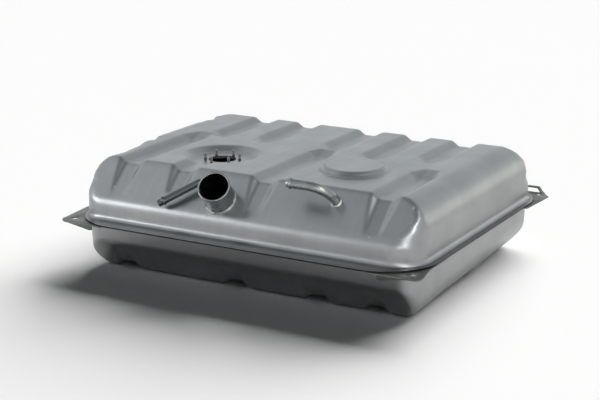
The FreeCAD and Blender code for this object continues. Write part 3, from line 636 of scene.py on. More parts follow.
# Cold-rolled sheet, drawn in a press and left bare: satin, with soft blotches of oil film and
# faint marks drawn towards the front. The seam weld leaves a brown-black heat mark on its track.
# The same dark tint along the flange's outer edge is painted shade of the seam line.
PRESSED_STEEL = MetalFinish(
    "cold_rolled_steel", light="#9E9FA0", dark="#929495", roughness=0.33, roughness_swing=0.03,
    blotch=70.0, grain=1.4, grain_height=0.010, streak=9.0, streak_ways=(1.0, 0.12, 0.12),
    tint="#33302D", tint_attribute="seam")
# The brackets are thicker strip, sheared and welded, a little browner from the heat.
BRACKET_STEEL = MetalFinish(
    "welded_strip_steel", light="#7C7E7A", dark="#646662", roughness=0.42, roughness_swing=0.08,
    blotch=24.0, grain=1.1, grain_height=0.015, streak=4.0)
# Zinc-plated drawn tube: smooth, with a soft shine.
ZINC_TUBE = MetalFinish(
    "zinc_plated_tube", light="#919493", dark="#8A8E8C", roughness=0.27, roughness_swing=0.01,
    blotch=40.0, grain=1.4, grain_height=0.0004, streak=14.0)
# The breather is the same zinc tube, its colour darkened as painted shade for the dark surroundings
# that it mirrors.
SHADE_DARKENED_TUBE = MetalFinish(
    "shade_darkened_tube", light="#626567", dark="#56595B", roughness=0.24, roughness_swing=0.01,
    blotch=30.0, grain=1.4, grain_height=0.0004, streak=12.0)
# Silver braze: bright, lumpy and smooth between its ripples.
BRAZE_METAL = MetalFinish(
    "silver_braze", light="#B4B6B5", dark="#8E908E", roughness=0.30, roughness_swing=0.06,
    blotch=5.0, grain=1.2, grain_height=0.10, streak=2.0)
# Zinc-plated threaded studs.
STUD_STEEL = MetalFinish(
    "zinc_plated_stud", light="#8E908E", dark="#6C6E6D", roughness=0.30, roughness_swing=0.06,
    blotch=4.0, grain=0.6, grain_height=0.008, streak=1.5)
# The same sheet inside the tank, dull with oil.
INNER_STEEL = MetalFinish(
    "oily_inner_steel", light="#85898B", dark="#6D7173", roughness=0.45, roughness_swing=0.08,
    blotch=40.0, grain=1.4, grain_height=0.010, streak=9.0)


# The two halves

SENDER_DISH = Disc(across=-130.0, back=-93.0, radius=52.0, spread=14.0, rise=-9.5, edge_round=9.0,
                   foot_round=6.0)
RAISED_DISC = Disc(across=121.0, back=-80.0, radius=50.0, spread=8.0, rise=8.0, edge_round=5.0,
                   foot_round=5.0)
UPPER_FORM = PressedForm(
    half_length=315.0, half_width=258.0, height=98.0, shoulder=34.0, ridge=198.0, corner=38.0,
    front_corners=(44.0, 50.0), left_swell=4.0, shoulder_round=27.0, ridge_round=9.0, draft=1.5,
    left_rounds=((-262.0, 36.0), (-200.0, 38.0), (-160.0, 42.0), (-110.0, 37.0), (-60.0, 20.0),
                 (20.0, 12.0), (90.0, 9.0), (150.0, 9.0), (180.0, 25.0), (215.0, 48.0),
                 (262.0, 50.0)),
    right_rounds=((-262.0, 50.0), (262.0, 50.0)),
    channels=(Channel(-246.0, Side.FRONT, 2.0), Channel(-137.0, Side.FRONT, -120.0),
              Channel(18.5, Side.FRONT, -4.0), Channel(237.0, Side.FRONT, -56.0),
              Channel(-211.0, Side.REAR, 54.0), Channel(-118.0, Side.REAR, 48.0),
              Channel(13.0, Side.REAR, 62.0), Channel(108.0, Side.REAR, 24.0),
              Channel(202.0, Side.REAR, 54.0)),
    discs=(SENDER_DISH, RAISED_DISC), notches=(-52.0, 145.0))
DISH_FLOOR = UPPER_FORM.height + SENDER_DISH.rise
SENDER_OPENING = 24.0
LOWER_FORM = PressedForm(
    half_length=312.0, half_width=255.0, height=92.0, shoulder=36.0, ridge=217.0, corner=30.0,
    front_corners=(30.0, 42.0), shoulder_round=22.0, ridge_round=14.0, draft=5.0,
    left_rounds=((-260.0, 36.0), (260.0, 36.0)),
    right_rounds=((-255.0, 68.0), (-159.0, 61.0), (-43.0, 53.0), (87.0, 48.0), (186.0, 40.0),
                  (255.0, 34.0)),
    left_crease=((36.0, 14.0), (92.0, 10.0)),
    right_crease=((36.0, 26.0), (60.0, 20.0), (92.0, 14.0)),
    channels=tuple(Channel(across, Side.THROUGH) for across in (-243.0, -26.0, 128.0, 234.0)),
    crossing=-33.0)


# The frame of the sloping front panel

def panel_frame(across: float, up_panel: float, tilt: float = 0.0, swing: float = 0.0) -> Matrix:
    """The frame of something that stands on the sloping front panel.

    Args:
        across: Its place along the tank.
        up_panel: How far up the slope from the shoulder it stands.
        tilt: How far its axis leans along the tank.
        swing: How far it is turned about the panel's normal.

    Returns:
        A matrix whose Z axis points away from the panel.
    """
    form = UPPER_FORM
    slope = math.atan2(form.height - form.shoulder, form.half_width - form.ridge)
    spot = (across, -form.half_width + up_panel * math.cos(slope),
            form.shoulder + up_panel * math.sin(slope))
    return (Matrix.Translation(spot) @ Matrix.Rotation(slope, 4, "X")
            @ Matrix.Rotation(math.radians(tilt), 4, "Y")
            @ Matrix.Rotation(math.radians(swing), 4, "Z"))


@dataclass(frozen=True)
class Bore:
    """A round hole through the sheet."""

    spot: Vector
    axis: Vector
    radius: float


@dataclass
class SheetPressing:
    """One half of the tank as a single drawn sheet with its seam flange.

    The sheet starts as a box round the core: its grid lies over the top and its rim folds down
    the walls. The shares say where the rings of the flange lie between the wall's foot and the
    edge, and the tuck draws the foot in where the walls turn a corner.
    """

    name: str
    node: str
    form: PressedForm
    turned_over: bool
    core: tuple[float, float, float]
    strip: float
    columns: float
    rows: Stations
    bores: tuple[Bore, ...] = ()
    gauge: float = 1.2
    foot: float = 8.0
    flange_half_length: float = 330.0
    flange_half_width: float = 291.0
    flange_corner: float = 96.0
    corner_tuck: float = 0.6
    foot_steps: int = 5
    flange_shares: tuple[float, ...] = (0.28, 0.56, 0.70, 0.80, 0.93, 1.0)
    wall_steps: int = 5
    weld_from_edge: float = 6.0
    weld_half: float = 2.2
    # Width of the flange's outer edge that gets the dark tint as painted shade of the seam line.
    edge_shade_band: float = 1.2
    coarse: float = 1.0

    def row_places(self) -> list[float]:
        """Spaces the rows of the top, closer together where the form is busy.

        Returns:
            How far back each row lies, from the front.
        """
        end = self.core[1] + self.strip
        spots = [-end]
        while spots[-1] < end:
            step = float(np.interp(spots[-1], *np.array(self.rows).T)) * self.coarse
            spots.append(spots[-1] + step)
        scale = end * 2.0 / (spots[-1] + end)
        return [-end + (spot + end) * scale for spot in spots]

    def build(self) -> bmesh.types.BMesh:
        """Lays a grid over the form, folds its rim down the walls and out along the flange.

        Returns:
            The sheet as one surface with its holes, in millimetres, before it gets its gauge.
        """
        mesh = bmesh.new()
        ring = mesh.verts.layers.int.new("ring")
        column = mesh.verts.layers.int.new("column")
        rows = self.row_places()
        across_half = self.core[0] + self.strip
        count = round(across_half * 2.0 / (self.columns * self.coarse))
        bmesh.ops.create_grid(mesh, x_segments=count, y_segments=len(rows) - 1, size=1.0)
        for vert in mesh.verts:
            row = (vert.co.y + 1.0) * 0.5 * (len(rows) - 1)
            vert.co = (vert.co.x * across_half, rows[round(row)], self.core[2] + self.strip)
        rim = [edge for edge in mesh.edges if edge.is_boundary]
        rim_verts = list({vert for edge in rim for vert in edge.verts})
        for number, vert in enumerate(rim_verts):
            vert[column] = number
        base = np.array([tuple(vert.co) for vert in rim_verts])
        heights = self.wall_heights()
        rings = len(heights) + self.foot_steps + len(self.flange_shares)
        for number in range(rings):
            made = bmesh.ops.extrude_edge_only(mesh, edges=rim)["geom"]
            rim = [item for item in made if isinstance(item, bmesh.types.BMEdge)
                   and item.is_boundary]
            fresh = [item for item in made if isinstance(item, bmesh.types.BMVert)]
            for vert in fresh:
                vert[ring] = number + 1
        self.settle(mesh, ring, column, base, heights)
        bmesh.ops.recalc_face_normals(mesh, faces=mesh.faces)
        top = max(mesh.faces, key=lambda face: face.calc_center_median().z)
        if top.normal.z < 0.0:
            bmesh.ops.reverse_faces(mesh, faces=mesh.faces)
        for bore in self.bores:
            self.pierce(mesh, bore)
        return mesh

    def wall_heights(self) -> list[float]:
        """Spaces the rings that fold down the walls of the box that the grid starts from.

        Returns:
            The heights of the rings, from the top down.
        """
        fan = max(2, round(self.strip / (self.columns * self.coarse)))
        heights = [self.core[2] + self.strip * (1.0 - (step + 1) / fan) for step in range(fan)]
        foot_top = self.gauge + self.foot
        wall = [self.core[2] + (foot_top - self.core[2]) * (step + 1) / self.wall_steps
                for step in range(self.wall_steps)]
        return heights + wall

    def settle(self, mesh: bmesh.types.BMesh, ring: bmesh.types.BMLayerItem,
               column: bmesh.types.BMLayerItem, base: np.ndarray, heights: list[float]) -> None:
        """Moves every vertex from the starting box onto the pressing.

        Args:
            mesh: The folded grid.
            ring: Layer that numbers the rings, 0 on the grid itself.
            column: Layer that numbers the columns of the rings.
            base: Where each column starts on the rim of the grid.
            heights: Heights of the rings that lie on the walls.
        """
        verts = list(mesh.verts)
        rings = np.array([vert[ring] for vert in verts])
        columns = np.array([vert[column] for vert in verts])
        aims = np.array([tuple(vert.co) for vert in verts])
        on_wall = (rings > 0) & (rings <= len(heights))
        aims[on_wall, 2] = np.array(heights)[rings[on_wall] - 1]
        far_below = -1e6
        low, high = np.array([-self.core[0], -self.core[1], far_below]), np.array(self.core)
        cores = np.clip(aims, low, high)
        upper = rings <= len(heights)
        places = aims.copy()
        places[upper], _ = self.form.seat(cores[upper], aims[upper])
        feet_aims = base.copy()
        feet_aims[:, 2] = heights[-1]
        feet_cores = np.clip(feet_aims, low, high)
        feet, outward = self.form.seat(feet_cores, feet_aims)
        outward[:, 2] = 0.0
        outward /= np.linalg.norm(outward, axis=1)[:, None]
        tuck = np.abs(outward[:, 0] * outward[:, 1]) * 2.0 * self.corner_tuck
        reach = outward * (self.foot * (1.0 - tuck))[:, None]
        foot_end = feet + reach
        foot_end[:, 2] = self.gauge
        edge = self.flange_edge(feet_cores, feet_aims)
        for number in range(1, self.foot_steps + len(self.flange_shares) + 1):
            chosen = rings == len(heights) + number
            spots = columns[chosen]
            if number <= self.foot_steps:
                turn = math.pi / 2.0 * number / self.foot_steps
                places[chosen] = feet[spots] + reach[spots] * (1.0 - math.cos(turn))
                places[chosen, 2] = self.gauge + self.foot * (1.0 - math.sin(turn))
            else:
                share = self.flange_shares[number - self.foot_steps - 1]
                places[chosen] = foot_end[spots] * (1.0 - share) + edge[spots] * share
        for vert, place in zip(verts, places):
            vert.co = place

    def flange_plan(self, points: np.ndarray) -> Gap:
        """Distances from the outline of the seam flange in plan."""
        return meet(pair_gap(points, 0, self.flange_half_length),
                    pair_gap(points, 1, self.flange_half_width), self.flange_corner)

    def flange_edge(self, cores: np.ndarray, aims: np.ndarray) -> np.ndarray:
        """Follows rays in plan to the edge of the seam flange.

        Args:
            cores: Where the rays start.
            aims: A point that each ray passes through.

        Returns:
            The places where the rays leave the flange, on its upper face.
        """
        rounds = 12
        along = aims - cores
        length = np.linalg.norm(along, axis=1)
        along = along / length[:, None]
        for _ in range(rounds):
            plan = self.flange_plan(cores + along * length[:, None])
            length = length - plan.reach / np.einsum("ij,ij->i", plan.normal, along)
        places = cores + along * length[:, None]
        places[:, 2] = self.gauge
        return places

    def pierce(self, mesh: bmesh.types.BMesh, bore: Bore) -> None:
        """Opens a round hole and draws its rim onto the circle.

        Args:
            mesh: The sheet before it gets its wall.
            bore: The hole.
        """
        def radial(vert: bmesh.types.BMVert) -> Vector:
            """The arm from the hole's axis to a vertex, square to the axis."""
            arm = vert.co - bore.spot
            return arm - bore.axis * arm.dot(bore.axis)

        ray_length = 20.0
        near = [vert for vert in mesh.verts
                if (vert.co - bore.spot).length < bore.radius * NEARBY]
        doomed = [vert for vert in near if radial(vert).length < bore.radius]
        rim = {other for vert in doomed for edge in vert.link_edges for other in edge.verts}
        rim |= {vert for item in doomed for face in item.link_faces for vert in face.verts}
        rim -= set(doomed)
        bmesh.ops.delete(mesh, geom=doomed, context="VERTS")
        for vert in rim:
            arm = radial(vert)
            vert.co -= arm * (1.0 - bore.radius / arm.length)
        spots = np.array([tuple(vert.co) for vert in rim])
        cores = spots - np.array(bore.axis) * ray_length
        places, _ = self.form.seat(cores, spots)
        for vert, place in zip(rim, places):
            vert.co = place

    def tint_seam_heat_and_shade(self, piece: bpy.types.Object) -> None:
        """Stores how strongly the dark tint marks each vertex: the weld's heat on its track, and
        painted shade of the seam line along the flange's outer edge.

        Args:
            piece: The finished pressing, whose finish reads the mark.
        """
        track_strength, level_share = 0.6, 1.5
        count = len(piece.data.vertices)
        flat = np.zeros(count * 3, np.float32)
        piece.data.vertices.foreach_get("co", flat)
        points = flat.reshape(-1, 3).astype(float) / MM
        plan = self.flange_plan(points)
        track = np.abs(-plan.reach - self.weld_from_edge)
        level = np.abs(points[:, 2]) < self.gauge * level_share
        mark = np.clip(1.0 - track / (self.weld_half * 2.0), 0.0, 1.0) * level * track_strength
        # Painted shade: the flange's outer edge gets the full dark tint, standing in for the shadowed
        # seam line.
        mark = np.maximum(mark, (plan.reach > -self.edge_shade_band) * level)
        attribute = piece.data.attributes.new("seam", "FLOAT", "POINT")
        attribute.data.foreach_set("value", mark.astype(np.float32))

    def make(self, material: bpy.types.Material) -> bpy.types.Object:
        """Builds, thickens and dresses the pressing.

        Args:
            material: The finish of the sheet.

        Returns:
            The finished piece.
        """
        mesh = self.build()
        bmesh.ops.solidify(mesh, geom=mesh.faces[:], thickness=self.gauge)
        if self.turned_over:
            bmesh.ops.rotate(mesh, matrix=Matrix.Rotation(math.pi, 3, "X"), verts=mesh.verts)
        piece = finish_mesh(self.name, mesh, material, (self.node,), sharp=50.0)
        self.tint_seam_heat_and_shade(piece)
        return piece


@dataclass
class WitnessPips:
    """The small raised marks that the press tool leaves on the front of the upper half.

    Each mark is seated along a ray that starts further in than its spot, by the inward shares.
    """

    spots: tuple[tuple[float, float, float], ...] = (
        (-257.0, -239.0, 59.0), (234.0, -258.0, 47.0), (290.0, -210.0, 88.0))
    inward: tuple[float, float, float] = (1.0, 0.75, 0.4)
    radius: float = 2.4
    stretch: float = 1.5
    rise: float = 0.7
    segments: int = 20
    rings: int = 12

    def make(self, material: bpy.types.Material) -> None:
        """Seats a flattened dome on the sheet at each mark.

        Args:
            material: The finish of the sheet.
        """
        cores = np.array(self.spots) * self.inward
        places, normals = UPPER_FORM.seat(cores, np.array(self.spots))
        mesh = bmesh.new()
        for place, normal in zip(places, normals):
            turn = Vector(normal).to_track_quat("Z", "Y").to_matrix().to_4x4()
            size = Matrix.Diagonal((self.radius, self.radius * self.stretch, self.rise, 1.0))
            bmesh.ops.create_uvsphere(mesh, u_segments=self.segments, v_segments=self.rings,
                                      radius=1.0, matrix=Matrix.Translation(place) @ turn @ size)
        finish_mesh("press_witness_pips", mesh, material)


# Tubes

@dataclass
class FillerNeck:
    """The filler neck with its rolled mouth and the braze at its foot."""

    across: float = -46.0
    up_panel: float = 34.9
    tilt: float = 11.0
    radius: float = 25.4
    wall: float = 1.5
    length: float = 48.0
    inside: float = 26.0
    lip: float = 1.7
    lip_width: float = 5.0
    lip_lead: Stations = ((0.0, 1.6), (0.25, 1.1), (0.7, 0.75), (1.0, 0.2))
    lip_steps: int = 8
    braze_spread: float = 2.6
    braze_rise: float = 3.0
    steps: int = 96

    def frame(self) -> Matrix:
        """The neck's own frame, with its foot at the origin."""
        return panel_frame(self.across, self.up_panel, self.tilt)

    def bore(self) -> Bore:
        """Lays out the hole that the neck passes through.

        Returns:
            The hole in the sloping panel.
        """
        frame_matrix = self.frame()
        axis = (frame_matrix.to_3x3() @ Vector((0.0, 0.0, 1.0))).normalized()
        return Bore(frame_matrix.translation, axis, self.radius + BORE_CLEARANCE)

    def make(self, tube: bpy.types.Material, braze: bpy.types.Material) -> None:
        """Builds the neck and its braze ring.

        Args:
            tube: The finish of the neck.
            braze: The finish of the ring.
        """
        inner = self.radius - self.wall
        roll = self.lip_width * 0.5
        crest = self.length - roll
        outer = self.radius + self.lip
        middle = (outer + inner) * 0.5
        thick = (outer - inner) * 0.5
        profile = [(inner, -self.inside), (self.radius, -self.inside), (self.radius, 0.0)]
        profile += [(self.radius + self.lip * out, crest - roll * down)
                    for out, down in self.lip_lead]
        profile += arc_points((middle, self.length - thick), thick, 0.0, 180.0, self.lip_steps)
        profile += [(inner, crest - roll)]
        mesh = spun(profile, self.steps)
        bmesh.ops.transform(mesh, matrix=self.frame(), verts=mesh.verts)
        finish_mesh("filler_neck_rolled", mesh, tube, ("filler_neck",))
        lean = math.tan(math.radians(self.tilt))
        BrazeRing("neck_braze", "neck_collar", self.frame(), self.radius, self.braze_spread,
                  self.braze_rise, lean).make(braze)


@dataclass
class BrazeRing:
    """The fillet of braze round the foot of a tube."""

    name: str
    node: str
    frame: Matrix
    radius: float
    spread: float
    rise: float
    lean: float = 0.0
    steps: int = 72
    ripple: float = 0.22
    sink: float = 0.2
    hollow: Stations = ((1.0, 0.0), (0.9, 0.12), (0.68, 0.3), (0.46, 0.52), (0.28, 0.78), (0.1, 1.0))
    waves: tuple[tuple[float, float, float], ...] = (
        (7.0, 0.0, 1.0), (11.0, 1.3, 1.0), (23.0, 0.4, 0.7))

    def make(self, material: bpy.types.Material) -> bpy.types.Object:
        """Spins a hollow fillet, ripples it and lays it along the panel.

        Args:
            material: The finish of the braze.

        Returns:
            The finished ring.
        """
        outward_share, lift_share = 0.5, 2.0
        profile = [(self.radius + self.spread * out, self.rise * up) for out, up in self.hollow]
        profile += [(self.radius, self.rise), (self.radius, -self.sink),
                    (self.radius + self.spread, -self.sink)]
        mesh = spun(profile, self.steps)
        whole = sum(height for _, _, height in self.waves)
        for vert in mesh.verts:
            turn = math.atan2(vert.co.y, vert.co.x)
            swell = self.ripple / whole * sum(height * math.sin(turn * count + phase)
                                              for count, phase, height in self.waves)
            share = min(1.0, max(0.0, vert.co.z / self.rise))
            arm = Vector((vert.co.x, vert.co.y, 0.0)).normalized()
            edge = (vert.co.xy.length - self.radius) / self.spread
            vert.co += arm * (swell * edge * self.spread * outward_share)
            vert.co.z += swell * share * (1.0 - share) * lift_share + vert.co.x * self.lean
        bmesh.ops.transform(mesh, matrix=self.frame, verts=mesh.verts)
        return finish_mesh(self.name, mesh, material, (self.node,), sharp=60.0)


@dataclass
class BentTube:
    """A tube that leaves the panel, turns a right angle and ends in a hose bead."""

    name: str
    node: str
    collar_node: str
    across: float
    up_panel: float
    swing: float
    radius: float
    wall: float
    stand: float
    bend: float
    run: float
    inside: float = 10.0
    bead: float = 1.4
    bead_width: float = 4.4
    bead_setback: float = 3.5
    braze_spread: float = 2.4
    braze_rise: float = 2.2
    braze_steps: int = 48
    braze_ripple: float = 0.16
    segments: int = 40
    bend_steps: int = 20
    bead_shape: Stations = ((-1.6, 0.0), (-1.1, 0.12), (-0.7, 0.6), (-0.35, 0.93), (0.0, 1.0),
                            (0.35, 0.93), (0.7, 0.6), (1.1, 0.12), (1.6, 0.0))
    end_break: Stations = ((0.5, 0.0), (0.12, 0.1), (0.0, 0.4))

    def frame(self) -> Matrix:
        """The tube's own frame, with its foot at the origin and its run along X."""
        return panel_frame(self.across, self.up_panel, 0.0, self.swing)

    def bore(self) -> Bore:
        """The hole that the tube passes through."""
        matrix = self.frame()
        return Bore(matrix.translation, (matrix.to_3x3() @ Vector((0, 0, 1))).normalized(),
                    self.radius + BORE_CLEARANCE)

    def stations(self) -> list[Matrix]:
        """Places the rings along the tube.

        Returns:
            Their frames, each scaled to its radius.
        """
        def ring(along: float, up: float, turn: float, radius: float) -> Matrix:
            """The frame of one ring, square to the tube."""
            return (Matrix.Translation((along, 0.0, up)) @ Matrix.Rotation(turn, 4, "Y")
                    @ Matrix.Scale(radius, 4))

        top = self.stand + self.bend
        stops = [ring(0.0, -self.inside, 0.0, self.radius), ring(0.0, 0.0, 0.0, self.radius)]
        for step in range(self.bend_steps + 1):
            turn = math.pi / 2.0 * step / self.bend_steps
            stops.append(ring(self.bend * (1.0 - math.cos(turn)),
                              self.stand + self.bend * math.sin(turn), turn, self.radius))
        end = self.bend + self.run
        middle = end - self.bead_setback - self.bead_width / 2.0
        half = self.bead_width / 2.0
        for away, swell in self.bead_shape:
            stops.append(ring(middle + half * away, top, math.pi / 2.0,
                              self.radius + self.bead * swell))
        stops += [ring(end - back, top, math.pi / 2.0, self.radius - inset)
                  for back, inset in self.end_break]
        return stops

    def make(self, tube: bpy.types.Material, braze: bpy.types.Material) -> None:
        """Builds the tube ring by ring, gives it its wall and adds its braze.

        Args:
            tube: The finish of the tube.
            braze: The finish of the ring at its foot.
        """
        mesh = bmesh.new()
        stops = self.stations()
        bmesh.ops.create_circle(mesh, segments=self.segments, radius=1.0, matrix=stops[0])
        edges = mesh.edges[:]
        for before, after in zip(stops, stops[1:]):
            made = bmesh.ops.extrude_edge_only(mesh, edges=edges)["geom"]
            verts = [item for item in made if isinstance(item, bmesh.types.BMVert)]
            edges = [item for item in made if isinstance(item, bmesh.types.BMEdge)
                     and item.is_boundary]
            bmesh.ops.transform(mesh, matrix=after @ before.inverted(), verts=verts)
        bmesh.ops.recalc_face_normals(mesh, faces=mesh.faces)
        middle = mesh.faces[len(mesh.faces) // 2]
        outward = middle.calc_center_median() - Vector((self.bend, 0.0, self.stand))
        if (outward.length > self.bend) != (middle.normal.dot(outward) > 0.0):
            bmesh.ops.reverse_faces(mesh, faces=mesh.faces)
        bmesh.ops.solidify(mesh, geom=mesh.faces[:], thickness=self.wall)
        bmesh.ops.transform(mesh, matrix=self.frame(), verts=mesh.verts)
        finish_mesh(self.name, mesh, tube, (self.node,))
        BrazeRing(self.collar_node + "_fillet", self.collar_node, self.frame(), self.radius,
                  self.braze_spread, self.braze_rise, steps=self.braze_steps,
                  ripple=self.braze_ripple).make(braze)


VENT = BentTube("vent_tube_bent", "vent_tube", "vent_collar", across=158.0, up_panel=62.4,
                swing=180.0, radius=8.0, wall=1.2, stand=6.0, bend=36.0, run=34.0)
BREATHER = BentTube("breather_tube_bent", "breather_tube", "breather_collar", across=-82.0,
                    up_panel=59.8, swing=220.0, radius=6.0, wall=1.0, stand=2.0, bend=12.0,
                    run=73.6, bead=1.7, bead_setback=8.0)


# Studs, brackets and inner pieces

@dataclass
class SenderStuds:
    """Six threaded studs round the sender opening."""

    circle: float = 30.0
    radius: float = 2.5
    shoulder: float = 0.6
    stand: float = 10.0
    below: float = 4.2
    head_radius: float = 4.5
    head_thick: float = 2.0
    pitch: float = 0.8
    thread: float = 0.35
    point: float = 0.6
    taper: float = 0.5
    steps: int = 20
    count: int = 6
    turn: float = 22.5

    def profile(self) -> list[tuple[float, float]]:
        """Draws the half section of one stud from its head to its point.

        Returns:
            Points of radius and height over the dish floor.
        """
        core = self.radius - self.thread
        wide = self.radius + self.shoulder
        hub, first, flank_end, crest_end = 0.05, 0.4, 0.4, 0.5
        points = [(hub, -self.below - self.head_thick),
                  (self.head_radius, -self.below - self.head_thick), (self.head_radius, -self.below),
                  (wide, -self.below), (wide, 0.0), (core, 0.0)]
        ridges = int(self.stand / self.pitch) - 1
        for number in range(ridges):
            foot = self.pitch * (number + first)
            points += [(core, foot), (self.radius, foot + self.pitch * flank_end),
                       (self.radius, foot + self.pitch * crest_end)]
        points += [(core, self.stand - self.pitch), (core, self.stand - self.point),
                   (core - self.taper, self.stand), (hub, self.stand)]
        return points

    def make(self, material: bpy.types.Material) -> None:
        """Spins each stud and sets it on the circle.

        Args:
            material: The finish of the studs.
        """
        group = bmesh.new()
        for number in range(self.count):
            stud = spun(self.profile(), self.steps)
            turn = math.radians(self.turn + 360.0 / self.count * number)
            spot = (SENDER_DISH.across + self.circle * math.cos(turn),
                    SENDER_DISH.back + self.circle * math.sin(turn), DISH_FLOOR)
            bmesh.ops.translate(stud, vec=spot, verts=stud.verts)
            data = bpy.data.meshes.new("one_stud")
            stud.to_mesh(data)
            stud.free()
            group.from_mesh(data)
            bpy.data.meshes.remove(data)
        finish_mesh("sender_studs_threaded", group, material, ("sender_studs",),
                    sharp=25.0)


@dataclass
class CornerBrackets:
    """The four welded corner brackets, with the burrs of their sheared edges taken off."""

    nodes: tuple[str, ...] = ("bracket_front_right", "bracket_rear_right", "bracket_front_left",
                              "bracket_rear_left")
    edge: float = 0.35
    merge: float = 0.005
    flat_angle: float = 1.0
    sharp_angle: float = 40.0

    def make(self, material: bpy.types.Material) -> None:
        """Copies each plate from the frame and rounds its edges.

        Args:
            material: The finish of the plates.
        """
        for node in self.nodes:
            mesh = bmesh.new()
            mesh.from_mesh(frame["nodes"][node].data)
            bmesh.ops.scale(mesh, vec=(1.0 / MM, 1.0 / MM, 1.0 / MM), verts=mesh.verts)
            bmesh.ops.remove_doubles(mesh, verts=mesh.verts, dist=self.merge)
            bmesh.ops.dissolve_limit(mesh, angle_limit=math.radians(self.flat_angle),
                                     verts=mesh.verts, edges=mesh.edges)
            corners = [edge for edge in mesh.edges if len(edge.link_faces) == 2
                       and edge.calc_face_angle() > math.radians(self.sharp_angle)]
            bmesh.ops.bevel(mesh, geom=corners, offset=self.edge, offset_type="OFFSET",
                            affect="EDGES", segments=2, profile=0.5, material=-1,
                            clamp_overlap=True)
            finish_mesh(node + "_plate", mesh, material, (node,), sharp=30.0)


@dataclass
class InnerPieces:
    """The ring, the baffles and the pot inside the tank, which keep their shapes."""

    nodes: tuple[str, ...] = ("sender_ring", "baffle_left", "baffle_right", "swirl_pot")

    def make(self, material: bpy.types.Material) -> None:
        """Gives each piece its material.

        Args:
            material: The finish of the steel inside the tank.
        """
        for node in self.nodes:
            piece = frame["nodes"][node]
            piece.data.materials.clear()
            piece.data.materials.append(material)
            LOG.info("%s: %d faces", node, len(piece.data.polygons))


# The studio

@dataclass(frozen=True)
class Lamp:
    """One soft rectangular lamp that faces the tank and shows only in its metal."""

    name: str
    spot: tuple[float, float, float]
    width: float
    height: float
    power: float
    colour: str = "#FFFFFF"

    def make(self) -> None:
        """Stands the lamp, out of sight of the camera and without light on the matt floor."""
        data = bpy.data.lights.new(self.name, "AREA")
        data.shape = "RECTANGLE"
        data.size, data.size_y = self.width * MM, self.height * MM
        data.energy = self.power
        data.color = srgb(self.colour)[:3]
        lamp = bpy.data.objects.new(self.name, data)
        lamp.visible_camera = False
        lamp.visible_diffuse = False
        lamp.location = Vector(self.spot) * MM
        lamp.rotation_euler = (-Vector(self.spot)).to_track_quat("-Z", "Y").to_euler()
        bpy.context.scene.collection.objects.link(lamp)


